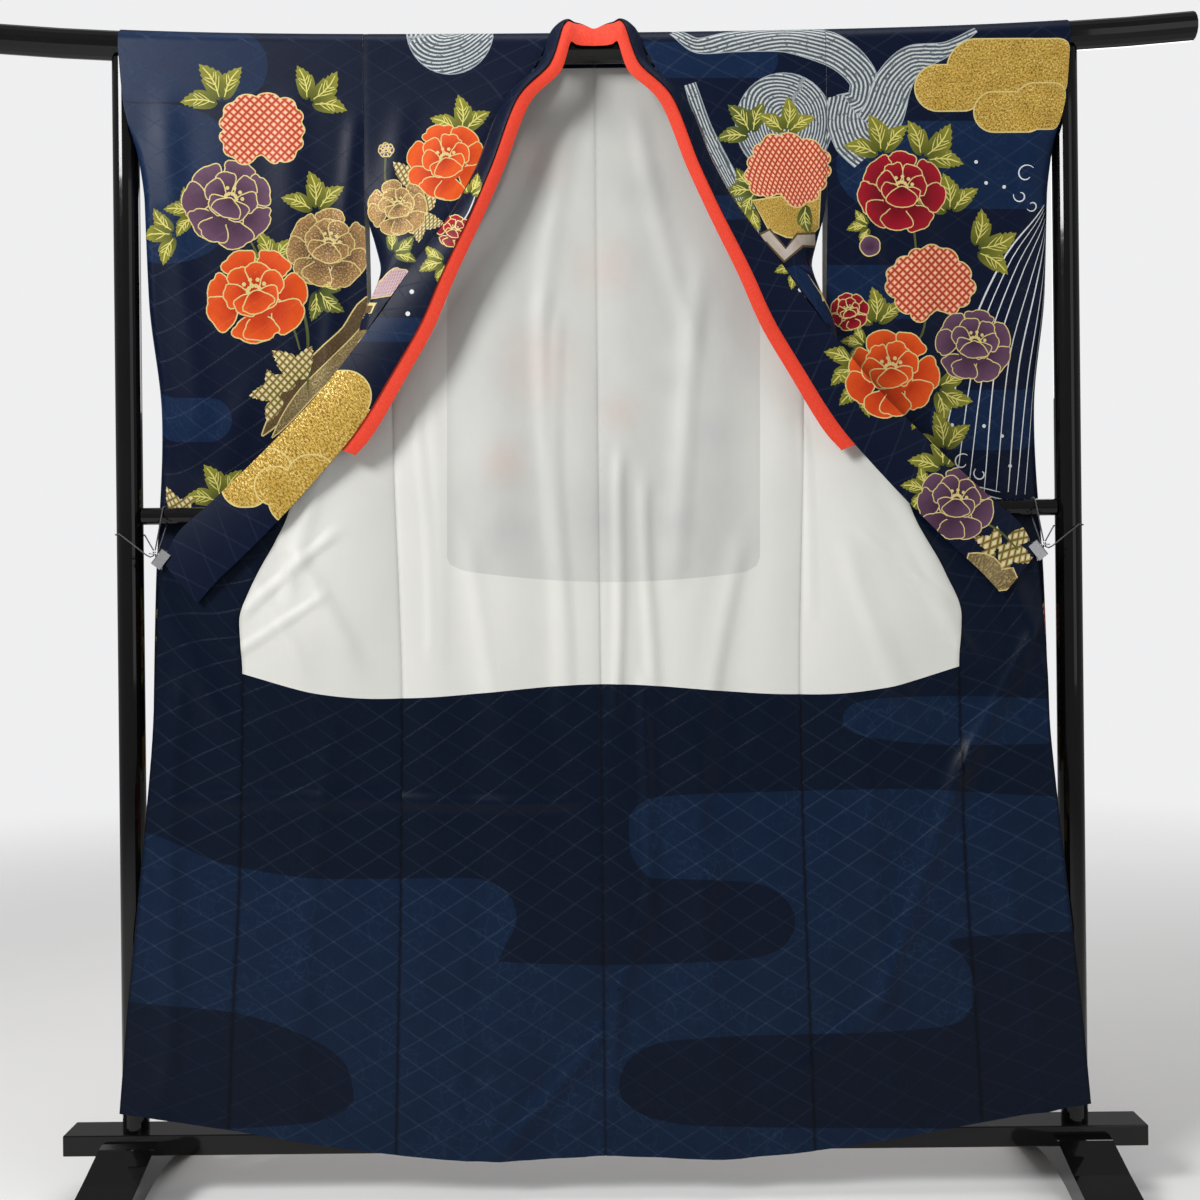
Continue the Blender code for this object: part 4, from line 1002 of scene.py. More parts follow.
def overlap_cloth(side):
    """Overlap panel of one side, from its hem up to its top under the collar."""
    t = np.arange(LAST_ROW, OVERLAP_TOP - 0.01, -0.05)
    share, rows = np.meshgrid(np.linspace(0.0, 1.0, 48), t)
    points = overlap_point(share, rows)
    x, z = points[..., 0] * side, points[..., 2]
    points[..., 1] -= body_lift(x, z, side) * fade_in(1.10 - z, 0.08)
    last = len(t) - 1
    return Cloth(points, -grid_normals(points), {
        "turned": (0, last, flat_on, 0, last), "inside_front": (0, last, seen, 0, last)}, side)


def sleeve_cloth(side):
    """Sleeve bag as one strip: front from its foot up, over the rail, down the back.
    Its layers meet along the foot and, below the wrist opening, along the outer edge."""
    rolled = 0.93 + 0.07 * np.sin(np.linspace(0.0, 0.5 * np.pi, 16))
    f = np.concatenate([np.linspace(0.0, 0.93, 84)[:-1], rolled])
    corner = np.clip((f - 0.80) / 0.20, 0.0, 1.0)
    bottom = SLEEVE_LOW + SLEEVE_CORNER * (1 - np.sqrt(1 - corner ** 2))
    x_top = SLEEVE_IN + SLEEVE_WIDTH * f
    q = np.concatenate([0.013 * np.linspace(0.0, 1.0, 10)[:-1] ** 2,
                        np.linspace(0.013, 1.0, 210)])[:, None]
    z = bottom + q * (rail_centre(x_top) - bottom)
    inner, outer, front, back = (by_height(SLEEVE, index, z) for index in (1, 2, 3, 4))
    x = inner + (outer - inner) * f
    low = z - bottom
    middle = 0.5 * (front + back)

    def closed(distance):
        """Half the bag's depth at a distance from an edge where its layers meet."""
        g = 1 - fade_in(distance, 0.014)
        return 0.5 * (back - front) * np.sqrt(np.clip(1 - g ** 2, 0.0, 1.0))

    ease = fade_in(q - SHUT, 0.105)
    half = closed(np.minimum((1 - f) * (outer - inner), low)) * (1 - ease) + closed(low) * ease
    edge = (1 - f) * (outer - inner) * (1 - ease) + ease
    wave = 0.0030 * np.sin(np.pi * np.minimum(q * 1.6, 1.0)) * np.sin(9.0 * f + 0.7)
    fade = fade_in(np.minimum(edge, low), 0.05)
    bar = fade_in(np.abs(z - BAR_Z), 0.15)
    lift = SLEEVE_GAIN * folds(SLEEVE_FOLDS, x * side, z) + ripple(x * side, z, 7.0 + side)
    lift = lift * fade * fade_in(1.63 - z, 0.08)
    ahead = middle - half - wave * fade * bar * (q < 0.78) - lift * (0.4 + 0.6 * bar)
    behind = middle + half + 0.4 * wave * fade * bar + 0.7 * lift
    over = over_rail(x_top, np.radians(np.linspace(-84.0, 84.0, 22))[:, None])
    points = np.concatenate([np.stack([x, ahead, z], axis=-1), over,
                             np.stack([x, behind, z], axis=-1)[::-1]])
    normals = grid_normals(points)
    count = len(q)
    meet = half[:, -1] < 1e-6
    normals[:count][meet, -1] = (1.0, 0.0, 0.0)
    normals[-count:][meet[::-1], -1] = (1.0, 0.0, 0.0)
    normals[[0, -1]] = (0.0, 0.0, -1.0)
    ridge = count + len(over) // 2
    last = len(points) - 1
    cloth = Cloth(points, normals, {
        "shown": (3, count + 2, seen, 0, ridge),
        "behind": (count + len(over) - 3, last - 3, flat_on, ridge, last)}, side)
    cloth.wide = 82     # columns short of the rounded outer edge, which is seen edge-on
    return cloth


def collar_cloth():
    """Collar band from its left end round the nape to its right end."""
    row = np.linspace(0.0, len(COLLAR) - 1.0, 330)
    share, rows = np.meshgrid(np.linspace(0.0, 1.0, 26), row)
    points = band_points(rows, share)
    normals = -grid_normals(points)
    points[..., 1] += 0.0009 * (2 * share - 1) ** 6
    sag = np.sin(7.0 * rows + 0.6) * np.sin(1.7 * rows) * np.sin(np.pi * share)
    points[..., 1] -= 0.0006 * sag * (rows < 11)
    last = len(row) * 2 - 2
    return Cloth(both_sides(points), both_sides(normals), {
        "shown_R": (0, 285, seen, 0, 285), "shown_L": (last - 285, last, seen, last - 285, last)})


def inner_cloth():
    """Red inner collar: from behind the band round its free edge to the edge that shows."""
    row = np.linspace(INNER[0][0], len(COLLAR) - 1.0, 300)
    share, rows = np.meshgrid(np.linspace(0.0, 1.0, 6), row)
    band = band_points(rows, share)
    normal = grid_normals(band)
    normal[-1, :, 0] = 0.0
    behind = band + normal * (BAND / 2 + 0.0007 + LINING / 2)
    clear = behind[:, 5] + unit(band[:, 5] - band[:, 4]) * 0.0012
    table = np.array(INNER)
    shown = blend(table[:, 0], table[:, 1:4], row)
    bulge = blend(table[:, 0], table[:, 4], row)[:, None]
    middle = 0.5 * (clear + shown) + bulge * np.array([0.0, -0.7, 0.7])
    columns = [behind[:, 3], behind[:, 4], clear]
    columns += [through(clear, middle, shown, np.full(len(row), q))
                for q in np.linspace(0.0, 1.0, 13)[1:]]
    points = blend(np.arange(15.0), np.stack(columns), np.linspace(0.0, 14.0, 36))
    points = points.transpose(1, 0, 2)
    return Cloth(both_sides(points), both_sides(-grid_normals(points)), {})


def inner_side(cloth, first, last, sewn):
    """Lining grid: the panel's rows, moved to its inner side, facing inwards, and
    brought together at the side seam where it is sewn there."""
    base = cloth.points[first:last + 1]
    outward = cloth.normals[first:last + 1]
    points = base - outward * LAYER
    if sewn:
        far = np.abs(base[..., 0] - base[:, :1, 0]) + np.abs(base[..., 1] - base[:, :1, 1])
        pull = np.exp(-(far / 0.012) ** 2)[..., None]
        points = points * (1 - pull) + (base + np.array([0.0, -LAYER, 0.0])) * pull
    crease = np.maximum(folds(CREASES, base[..., 0], base[..., 2]), LINING_DEEPEST)
    points = points - (crease - seam_dip(points) * 0.0007)[..., None] * outward
    views = {}
    for name, (low, high, plane, _, _) in cloth.views.items():
        if name.startswith("inside") and low <= last and high >= first:
            ends = (max(low - first, 0), min(high, last) - first)
            views[name] = (*ends, plane, *ends)
    normals = grid_normals(points)
    return Cloth(points, -normals * np.sign((outward * normals).sum()), views)


def spaced(low, high, step, fine):
    """Marks from low to high, closer near the fine places: (place, closest, reach)."""
    marks = [low]
    while marks[-1] < high - 0.4 * step:
        here = marks[-1]
        size = step
        for spot, least, reach in fine:
            size = min(size, max(least, (abs(here - spot) - reach) * 0.3 + least))
        marks.append(here + size)
    marks = np.array(marks)
    return low + (marks - low) * (high - low) / (marks[-1] - low)


def dense(outline, gap):
    """Outline with points added on its long edges."""
    ahead = np.concatenate([outline[1:], outline[:1]]) - outline
    count = np.maximum(1, np.ceil(np.sqrt((ahead ** 2).sum(axis=1)) / gap)).astype(int)
    which = np.repeat(np.arange(len(outline)), count)
    share = (np.arange(len(which)) - (np.cumsum(count) - count)[which]) / count[which]
    return outline[which] + ahead[which] * share[:, None]


def inside(spots, outline):
    """Which spots lie in a closed outline, by counting crossings."""
    x, y = spots[:, 0][:, None], spots[:, 1][:, None]
    ax, ay = outline[:, 0][None], outline[:, 1][None]
    bx, by = np.roll(outline[:, 0], -1)[None], np.roll(outline[:, 1], -1)[None]
    spans = (ay > y) != (by > y)
    rise = np.where(by == ay, 1.0, by - ay)
    return (np.sum(spans & (x < ax + (y - ay) / rise * (bx - ax)), axis=1) % 2) == 1


def painted_shapes(cloth, works):
    """Shapes of the paintings that touch the panel, in its own scale: outline, style,
    centre, radius, line of a stream with its widths, rows that are painted."""
    width, length = cloth.u[-1], cloth.v[-1]
    found = []
    for view_name, painting in works:
        view = cloth.views[view_name]
        plane = view[2](cloth.points[view[0]:view[1] + 1:4, ::4]).reshape(-1, 2)
        low = plane.min(axis=0) - 0.003
        high = plane.max(axis=0) + 0.003
        pending = []
        for outline, style, centre, radius, line in painting.shapes:
            middle = place(centre)
            reach = metres(1.6 * radius)
            if (middle + reach < low).any() or (middle - reach > high).any():
                continue
            spots = place(dense(outline, 7.0))
            if (spots.max(axis=0) < low).any() or (spots.min(axis=0) > high).any():
                continue
            extra = middle[None] if line is None else np.concatenate([middle[None], place(line[0])])
            pending.append((spots, extra, style, radius, line))
        if not pending:
            continue
        mapped = cloth.find(np.concatenate([np.concatenate(row[:2]) for row in pending]), view)
        start = 0
        v_low, v_high = cloth.v[view[3]], cloth.v[view[4]]
        for spots, extra, style, radius, line in pending:
            middle = start + len(spots)
            outline, miss = mapped[start:middle, :2], mapped[start:middle, 2]
            start = middle + len(extra)
            if miss.min() > OFF_PANEL and np.ptp(spots, axis=0).max() < 0.15:
                continue
            if outline[:, 0].max() < 0 or outline[:, 0].min() > width:
                continue
            if outline[:, 1].max() < max(v_low, 0.0) or outline[:, 1].min() > min(v_high, length):
                continue
            if (np.ptp(outline, axis=0) > 6 * np.ptp(spots, axis=0) + 0.15).any():
                outline = np.clip(outline, (-0.02, v_low - 0.03), (width + 0.02, v_high + 0.03))
            across = line and (mapped[middle + 1:start, :2], metres(line[1]))
            found.append((outline, style, mapped[middle, :2], metres(radius), across,
                          (v_low, v_high)))
    return found


def triangulate(spots, cuts, sources=False):
    """Points and triangles of a triangulation with given cuts, and the spots that each
    point stands for."""
    verts, _, tris, merged, _, _ = delaunay_2d_cdt(spots.tolist(), cuts.tolist(), [], 0, 1e-7,
                                                   sources)
    verts = np.array([tuple(v) for v in verts], float)
    return verts, np.array([list(t) for t in tris if len(t) == 3], int), merged


def lattice_of(cloth, step, fine_u, fine_v):
    """Marks along both edges of a panel, and the points between them."""
    us = spaced(0.0, cloth.u[-1], step, fine_u)
    vs = spaced(0.0, cloth.v[-1], step, fine_v)
    return us, vs, np.stack(np.meshgrid(us[1:-1], vs[1:-1]), axis=-1).reshape(-1, 2)


def clear_of(lattice, shapes, size):
    """Lattice points with no painted outline beside them."""
    busy = np.zeros((size / CELL).astype(int) + 5, bool)
    if shapes:
        k = np.floor(np.concatenate([dense(shape[0], CELL) for shape in shapes])
                     / CELL).astype(int) + 2
        k = k[(k > 0).all(axis=1) & (k < np.array(busy.shape) - 1).all(axis=1)]
        for i in (-1, 0, 1):
            for j in (-1, 0, 1):
                busy[k[:, 0] + i, k[:, 1] + j] = True
    k = np.floor(lattice / CELL).astype(int) + 2
    return lattice[~busy[k[:, 0], k[:, 1]]]


def outer_face(cloth, shapes, step, fine_u, fine_v):
    """Outer face cut along every painted outline, its triangles sorted along v."""
    size = np.array([cloth.u[-1], cloth.v[-1]])
    us, vs, lattice = lattice_of(cloth, step, fine_u, fine_v)
    edge = np.concatenate([
        np.stack([us[:-1], 0 * us[:-1]], axis=-1),
        np.stack([0 * vs[:-1] + size[0], vs[:-1]], axis=-1),
        np.stack([us[:0:-1], 0 * us[:-1] + size[1]], axis=-1),
        np.stack([0 * vs[:-1], vs[:0:-1]], axis=-1)])
    groups = [edge] + [shape[0] for shape in shapes]
    starts = np.cumsum([0] + [len(group) for group in groups])
    after = np.arange(1, starts[-1] + 1)
    after[starts[1:] - 1] = starts[:-1]
    spots = np.concatenate(groups + [clear_of(lattice, shapes, size)])
    verts, tris, _ = triangulate(spots, np.stack([np.arange(starts[-1]), after], axis=-1))
    middle = verts[tris].mean(axis=1)
    keep = ((middle > 0) & (middle < size)).all(axis=1)
    keep &= ((verts[tris] > -1e-5) & (verts[tris] < size + 1e-5)).all(axis=(1, 2))
    tris = tris[keep]
    a, b, c = verts[tris].transpose(1, 0, 2)
    area = cross(b - a, c - a)
    real = np.abs(area) > 1e-10
    tris, area = tris[real], area[real]
    tris[area < 0] = tris[area < 0][:, ::-1]
    used, tris = np.unique(tris, return_inverse=True)
    verts, tris = verts[used], tris.reshape(-1, 3)
    return verts, tris[np.argsort(verts[tris][..., 1].sum(axis=1))]


def inner_face(cloth, verts, tris, step, fine_u, fine_v):
    """Inner face of coarser triangles within the same border, and the border's edges
    as points of the outer and of the inner face."""
    ends = np.concatenate([tris[:, (0, 1)], tris[:, (1, 2)], tris[:, (2, 0)]])
    both = np.sort(ends, axis=1)
    _, first, times = np.unique(both[:, 0] * len(verts) + both[:, 1], return_index=True,
                                return_counts=True)
    border, rim = np.unique(ends[first[times == 1]], return_inverse=True)
    rim = rim.reshape(-1, 2)
    spots = np.concatenate([verts[border], lattice_of(cloth, 1.3 * step, fine_u, fine_v)[2]])
    back, back_tris, merged = triangulate(spots, rim, True)
    now = np.zeros(len(spots), int)
    for index, sources in enumerate(merged):
        now[list(sources)] = index
    return back, back_tris, border[rim], now[rim]


def owners(verts, tris, shapes):
    """The topmost shape over each triangle, -1 where there is none."""
    middle = verts[tris].mean(axis=1)
    owner = np.full(len(tris), -1)
    for index, (outline, _, _, _, _, ends) in enumerate(shapes):
        low, high = outline.min(axis=0), outline.max(axis=0)
        first, last = np.searchsorted(middle[:, 1], (max(low[1], ends[0]), min(high[1], ends[1])))
        near = middle[first:last, 0]
        near = first + np.nonzero((near > low[0]) & (near < high[0]))[0]
        if len(near):
            owner[near[inside(middle[near], outline)]] = index
    return owner


def across_stream(spots, path, width):
    """Share of the lines' full width at spots in a band along a path, past 0."""
    a, b = path[:-1], path[1:]
    along = b - a
    t = ((spots[:, None] - a) * along).sum(axis=-1) / ((along ** 2).sum(axis=-1) + 1e-12)
    miss = spots[:, None] - (a + np.clip(t, 0, 1)[..., None] * along)
    dist = np.linalg.norm(miss, axis=-1)
    best = dist.argmin(axis=1)
    pick = np.arange(len(spots))
    half = 1.3 * (0.5 * width[best])
    beyond = np.sign(cross(along[best], miss[pick, best])) * dist[pick, best]
    share = half + np.clip(beyond, -half, half)
    return share / (LINE_PITCH * LINES_MOST) + 0.004


def colours(verts, tris, owner, shapes):
    """Paint and touch of every corner: colour and cover, then gold, dots, tone and
    the share across a stream."""
    paint = np.zeros((len(tris), 3, 4))
    touch = np.zeros((len(tris), 3, 4))
    if not shapes:
        return paint, touch
    styles = [STYLES[shape[1]] for shape in shapes]
    styles = np.array([[*style[0], *style[1], *style[2:]] for style in styles], float)
    centres = np.array([shape[2] for shape in shapes])
    radii = np.array([shape[3] for shape in shapes])
    mine = owner >= 0
    who = owner[mine]
    gap = np.linalg.norm(verts[tris[mine]] - centres[who][:, None], axis=-1) / radii[who][:, None]
    gap = np.clip(gap, 0.0, 1.0)[..., None]
    style = styles[who][:, None]
    paint[mine, :, :3] = style[..., 0:3] + (style[..., 3:6] - style[..., 0:3]) * gap
    paint[mine, :, 3] = (style[..., 6:7] + (style[..., 7:8] - style[..., 6:7]) * gap ** 2)[..., 0]
    touch[mine, :, :3] = style[..., 8:11]
    for index, shape in enumerate(shapes):
        faces = np.nonzero(owner == index)[0]
        if shape[4] is not None and len(faces):
            touch[faces, :, 3] = across_stream(verts[tris[faces]].reshape(-1, 2),
                                               *shape[4]).reshape(-1, 3)
    return paint, touch


def add_object(name, data):
    """New object in the scene."""
    obj = bpy.data.objects.new(name, data)
    bpy.context.scene.collection.objects.link(obj)
    return obj


def faces_in(tris, world, normals):
    """Whether triangles wind against their outward normals."""
    a, b, c = (world[tris[:, k]] for k in range(3))
    return (np.cross(b - a, c - a) * normals[tris[:, 0]]).sum() < 0


def shell(name, cloth, outer, inner, rims, values, wall, materials):
    """Mesh of a sheet of that wall, with its own scale as its UV map. The rim joins
    the outer face's border to the inner one's, point by point. A second material is
    for the inner face and the rim."""
    flat = np.concatenate([outer[0], inner[0]])
    count = len(outer[0])
    row = np.interp(flat[:, 1], cloth.v, np.arange(len(cloth.v)))
    col = np.interp(flat[:, 0], cloth.u, np.arange(len(cloth.u)))
    normals = unit(cloth.read(cloth.normals, row, col))
    normals[count:] *= -1
    world = cloth.read(cloth.points, row, col) + normals * (wall / 2)
    tris, back = outer[1], inner[1] + count
    rim, back_rim = rims[0], rims[1] + count
    if faces_in(tris, world, normals):
        tris, rim, back_rim = tris[:, ::-1], rim[:, ::-1], back_rim[:, ::-1]
        values = [value[:, ::-1] for value in values]
    if faces_in(back, world, normals):
        back = back[:, ::-1]
    sides = np.concatenate([np.stack([rim[:, 1], rim[:, 0], back_rim[:, 0]], axis=-1),
                            np.stack([rim[:, 1], back_rim[:, 0], back_rim[:, 1]], axis=-1)])
    sides = sides[(sides[:, 0] != sides[:, 1]) & (sides[:, 1] != sides[:, 2])
                  & (sides[:, 2] != sides[:, 0])]
    faces = np.concatenate([tris, back, sides])
    mesh = bpy.data.meshes.new(name)
    mesh.vertices.add(len(world))
    mesh.vertices.foreach_set("co", world.ravel())
    mesh.loops.add(faces.size)
    mesh.loops.foreach_set("vertex_index", faces.ravel())
    mesh.polygons.add(len(faces))
    mesh.polygons.foreach_set("loop_start", np.arange(0, faces.size, 3))
    mesh.polygons.foreach_set("loop_total", np.full(len(faces), 3))
    mesh.update()
    mesh.polygons.foreach_set("use_smooth", np.ones(len(faces), bool))
    plain = np.zeros((len(faces) - len(tris), 3, 4))
    for key, value in zip(("paint", "touch"), values):
        layer = mesh.color_attributes.new(key, "FLOAT_COLOR", "CORNER")
        layer.data.foreach_set("color", np.concatenate([value, plain]).ravel())
    uv = mesh.uv_layers.new(name="cloth")
    uv.data.foreach_set("uv", flat[faces].ravel())
    mesh.normals_split_custom_set_from_vertices(normals.tolist())
    for material in materials:
        mesh.materials.append(material)
    if len(materials) > 1:
        mesh.polygons.foreach_set("material_index",
                                  (np.arange(len(faces)) >= len(tris)).astype(int))
    return add_object(name, mesh)


def sew(name, cloth, works, step, wall, materials, fine_u=(), fine_v=(), shaded_seams=False):
    """Thin shell of a panel with its painting: an outer face, an inner one and a rim."""
    shapes = painted_shapes(cloth, works)
    verts, tris = outer_face(cloth, shapes, step, fine_u, fine_v)
    back, back_tris, *rims = inner_face(cloth, verts, tris, step, fine_u, fine_v)
    paint, touch = colours(verts, tris, owners(verts, tris, shapes), shapes)
    if shaded_seams:
        # Linings: touch's green becomes nearness to a sewn edge, which their materials turn into
        # painted shade along the seams
        across = verts[tris][..., 0]
        touch[..., 1] = np.exp(-(np.minimum(across, cloth.u[-1] - across) / SEAM_SHADE) ** 2)
    return shell(name, cloth, (verts, tris), (back, back_tris), rims, (paint, touch), wall,
                 materials)


def arithmetic(operation, turned=False):
    """Operator of a Value as a Math node, its two sides turned round for 2 - value."""
    def operator(self, other):
        return self.look.maths(operation, *((other, self) if turned else (self, other)))
    return operator


class Value:
    """An output socket that Python arithmetic works on."""

    def __init__(self, look, socket):
        self.look = look
        self.socket = socket

    def also(self, name):
        """Another output of the same node."""
        return Value(self.look, self.socket.node.outputs[name])

    __add__, __radd__ = arithmetic("ADD"), arithmetic("ADD", True)
    __sub__, __rsub__ = arithmetic("SUBTRACT"), arithmetic("SUBTRACT", True)
    __mul__, __rmul__ = arithmetic("MULTIPLY"), arithmetic("MULTIPLY", True)
    __truediv__ = arithmetic("DIVIDE")


class Look:
    """One material and its nodes."""

    def __init__(self, name, **sockets):
        self.material = bpy.data.materials.new(name)
        self.material.use_nodes = True
        self.tree = self.material.node_tree
        self.shader = self.tree.nodes["Principled BSDF"]
        for key, value in sockets.items():
            self.set(key.replace("_", " ").title().replace("Ior", "IOR"), value)

    def set(self, socket, value):
        """Fill a socket of the shader."""
        self.fill(self.shader.inputs[socket], value)

    def fill(self, socket, value):
        """Link to a Value, or a plain value in the socket."""
        if isinstance(value, Value):
            self.tree.links.new(value.socket, socket)
        elif isinstance(value, tuple) and len(value) == 3 and socket.type == "RGBA":
            socket.default_value = (*value, 1.0)
        else:
            socket.default_value = value

    def node(self, kind, output, settings=None, **sockets):
        """New node: its settings, then its inputs by name, or n0, n1 by number."""
        made = self.tree.nodes.new("ShaderNode" + kind)
        for key, value in (settings or {}).items():
            setattr(made, key, value)
        for key, value in sockets.items():
            name = int(key[1:]) if key[0] == "n" and key[1:].isdigit() else key.replace("_", " ")
            self.fill(made.inputs[name], value)
        return Value(self, made.outputs[output])

    def maths(self, operation, *values):
        """Result of a Math node."""
        sockets = {"n%d" % i: value for i, value in enumerate(values)}
        return self.node("Math", 0, {"operation": operation}, **sockets)

    def mix(self, share, a, b, blend_type="MIX"):
        """Colour between a and b; the numbers are those of the colour sockets."""
        made = self.tree.nodes.new("ShaderNodeMix")
        made.data_type = "RGBA"
        made.blend_type = blend_type
        for index, value in ((0, share), (6, a), (7, b)):
            self.fill(made.inputs[index], value)
        return Value(self, made.outputs[2])

    def smooth(self, value, low, high):
        """0 at low, 1 at high, a soft step between."""
        return self.node("MapRange", 0, {"interpolation_type": "SMOOTHSTEP"},
                         n0=value, n1=low, n2=high, n3=0.0, n4=1.0)

    def attribute(self, name):
        """Colour that the mesh carries under a name."""
        return self.node("Attribute", "Color", {"attribute_name": name})

    def uv(self):
        """Cloth's own scale as a vector, and its two parts, in metres."""
        spot = self.node("UVMap", "UV", {"uv_map": "cloth"})
        parts = self.node("SeparateXYZ", "X", Vector=spot)
        return spot, parts, parts.also("Y")

    def noise(self, vector, scale, detail=2.0, rough=0.5):
        """Soft noise, about 0 to 1."""
        return self.node("TexNoise", 0, Vector=vector, Scale=scale, Detail=detail, Roughness=rough)

    def drawn_out(self, vector, scales, detail, rough=0.5):
        """Noise with a scale for each direction."""
        return self.noise(self.node("Mapping", 0, Vector=vector, Scale=scales), 1.0, detail, rough)

    def wave(self, value):
        """Sine of a value."""
        return self.maths("SINE", value)

    def repeat(self, value):
        """Distance from the middle of each repeat, 0 to 0.5."""
        return self.maths("ABSOLUTE", self.maths("FRACT", value) - 0.5)

    def bump(self, height, distance, strength=1.0):
        """Bump of the shader, in metres."""
        self.set("Normal",
                 self.node("Bump", 0, Height=height, Distance=distance, Strength=strength))


def toned(factor, colour):
    """Colour made darker or lighter."""
    return tuple(factor * c for c in colour)


def lattice_lines(look, u, v):
    """Fine double-lined diamonds woven in the silk, about 64 by 42 mm."""
    a = look.repeat(u / DIAMOND_X + v / DIAMOND_Y)
    b = look.repeat(u / DIAMOND_X - v / DIAMOND_Y)
    total = 0.0
    for side in (a, b):
        total = total + (look.smooth(side, 0.034, 0.026) - look.smooth(side, 0.012, 0.004))
    return total


def silk_weave(look, u, v, pitch):
    """Ribs of a plain weave, one up and one down."""
    warp = look.wave(u * (TURN / pitch))
    weft = look.wave(v * (TURN / pitch))
    return warp * weft


def dyed_silk(name, dark, mid, rough, sheen, painted):
    """Navy figured silk, two tones, with fine cracks of paler dye; on the outer
    cloth paint, gold flakes, dotted flowers and lined streams lie over it."""
    look = Look(name, roughness=rough, sheen_weight=sheen, sheen_roughness=0.45,
                specular_ior_level=0.11)
    look.set("Sheen Tint", (0.30, 0.45, 0.85, 1.0))
    spot, u, v = look.uv()
    touch = look.attribute("touch")
    gold = look.node("SeparateColor", 0, n0=touch)
    # touch's green: dotted flowers on the outer cloth; on the linings, nearness to a sewn edge for
    # painted seam shade
    dots, tone = gold.also("Green"), gold.also("Blue")
    drift = look.noise(spot, 3.1, 3.0)
    cloudy = look.noise(spot, 9.0, 5.0, 0.65)
    bent = look.mix(0.035, spot,
                    look.node("TexNoise", "Color", Vector=spot, Scale=34.0, Detail=3.0), "ADD")
    crackle = look.node("TexVoronoi", 0, {"feature": "DISTANCE_TO_EDGE"},
                        Vector=bent, Scale=44.0, Randomness=1.0)
    hair = look.smooth(crackle, 0.045, 0.0) * look.smooth(cloudy, 0.40, 0.62)
    strands = look.drawn_out(spot, (260.0, 40.0, 1.0), 3.0, 0.6)
    lines = lattice_lines(look, u, v)
    base = look.mix(tone, look.mix(drift, toned(0.85, dark), toned(1.35, dark)),
                    look.mix(cloudy, toned(0.70, mid), toned(1.28, mid)))
    there = look.smooth(drift, 0.36, 0.62)
    base = look.mix(lines * (0.05 + 0.10 * tone + 0.07 * there), base, (0.060, 0.095, 0.16))
    base = look.mix(hair * (0.03 + 0.13 * tone), base, (0.045, 0.090, 0.17))
    base = look.mix(strands * 0.35, base, toned(0.55, dark))
    rib = silk_weave(look, u, v, 0.0011)
    height = rib * 0.10 + lines * 0.7 + strands * 0.5
    if painted:
        paint = look.attribute("paint")
        brush = look.noise(spot, 75.0, 4.0, 0.6)
        tinted = look.mix(look.smooth(brush, 0.35, 0.75) * 0.30, paint, (0.55, 0.55, 0.55),
                          "MULTIPLY")
        base = look.mix(paint.also("Alpha"), base, tinted)
        across = touch.also("Alpha")
        flow = look.repeat(across * LINES_MOST)
        on_stream = look.smooth(across, 0.0005, 0.002)
        broken = look.smooth(look.noise(spot, 140.0, 3.0, 0.6), 0.34, 0.46)
        base = look.mix(look.smooth(flow, 0.26, 0.34) * on_stream * broken * 0.90, base,
                        (0.56, 0.59, 0.58))
        base = look.mix(look.smooth(flow, 0.16, 0.06) * on_stream * 0.75, base,
                        (0.035, 0.048, 0.075))
        left = look.repeat((u + v) / DOT_PITCH)
        right = look.repeat((u - v) / DOT_PITCH)
        far = look.maths("MAXIMUM", left, right)
        knot = look.smooth(far, 0.40, 0.34)
        base = look.mix((1.0 - knot) * dots * 0.88, base, (0.42, 0.13, 0.10), "MULTIPLY")
        base = look.mix(look.smooth(far, 0.30, 0.16) * dots * 0.55, base, (0.88, 0.72, 0.55))
        grains = look.noise(spot, 360.0, 3.0, 0.75)
        leafing = look.smooth(look.noise(spot, 34.0, 4.0, 0.65), 0.30, 0.66)
        flake = look.smooth(grains, 0.52, 0.58) * gold
        base = look.mix(flake * (0.35 + 0.55 * leafing), base, (0.95, 0.72, 0.27))
        base = look.mix(look.smooth(grains, 0.49, 0.42) * gold * (0.95 - 0.35 * leafing), base,
                        (0.13, 0.068, 0.008))
        look.set("Metallic", flake * 0.55)
        look.set("Roughness", rough - 0.14 * flake + 0.10 * (cloudy - 0.5))
        height = height + paint.also("Alpha") * 0.6 + knot * dots * 1.6 + flake * 0.8
    else:
        # Linings: painted shade along the seams, from touch's green
        base = look.mix(dots * 0.8, base, toned(0.25, dark))
        look.set("Roughness", rough + 0.10 * (cloudy - 0.5))
    look.set("Base Color", base)
    look.bump(height, 0.00012)
    return look.material


def plain_silk(name, colour, rough, sheen, pitch, streak):
    """Thin plain silk with faint warp streaks; where a second layer lies behind it,
    soft blots of the outer pattern show through. Sewn edges get painted shade."""
    look = Look(name, roughness=rough, sheen_weight=sheen, sheen_roughness=0.35,
                specular_ior_level=0.45)
    spot, u, v = look.uv()
    warp = look.drawn_out(spot, (420.0, 4.0, 1.0), 3.0, 0.6)
    soft = look.noise(spot, 6.0, 4.0, 0.6)
    base = look.mix(soft, colour, toned(0.90, colour))
    base = look.mix(warp * streak, base, toned(0.72, colour))
    paint = look.attribute("paint")
    blot = look.smooth(look.drawn_out(spot, (9.0, 5.0, 1.0), 4.0, 0.6), 0.30, 0.70)
    base = look.mix(paint.also("Alpha") * (0.80 + 0.32 * blot), base, paint)
    # Nearness to a sewn edge, kept in touch's green: painted shade along the seams
    seam_shade_mask = look.node("SeparateColor", 0, n0=look.attribute("touch")).also("Green")
    base = look.mix(seam_shade_mask * 0.40, base, toned(0.45, colour))
    look.set("Base Color", base)
    look.set("Roughness", rough + 0.12 * (soft - 0.5))
    look.bump(silk_weave(look, u, v, pitch) * 0.4 + warp * 0.8, 0.00010)
    return look.material


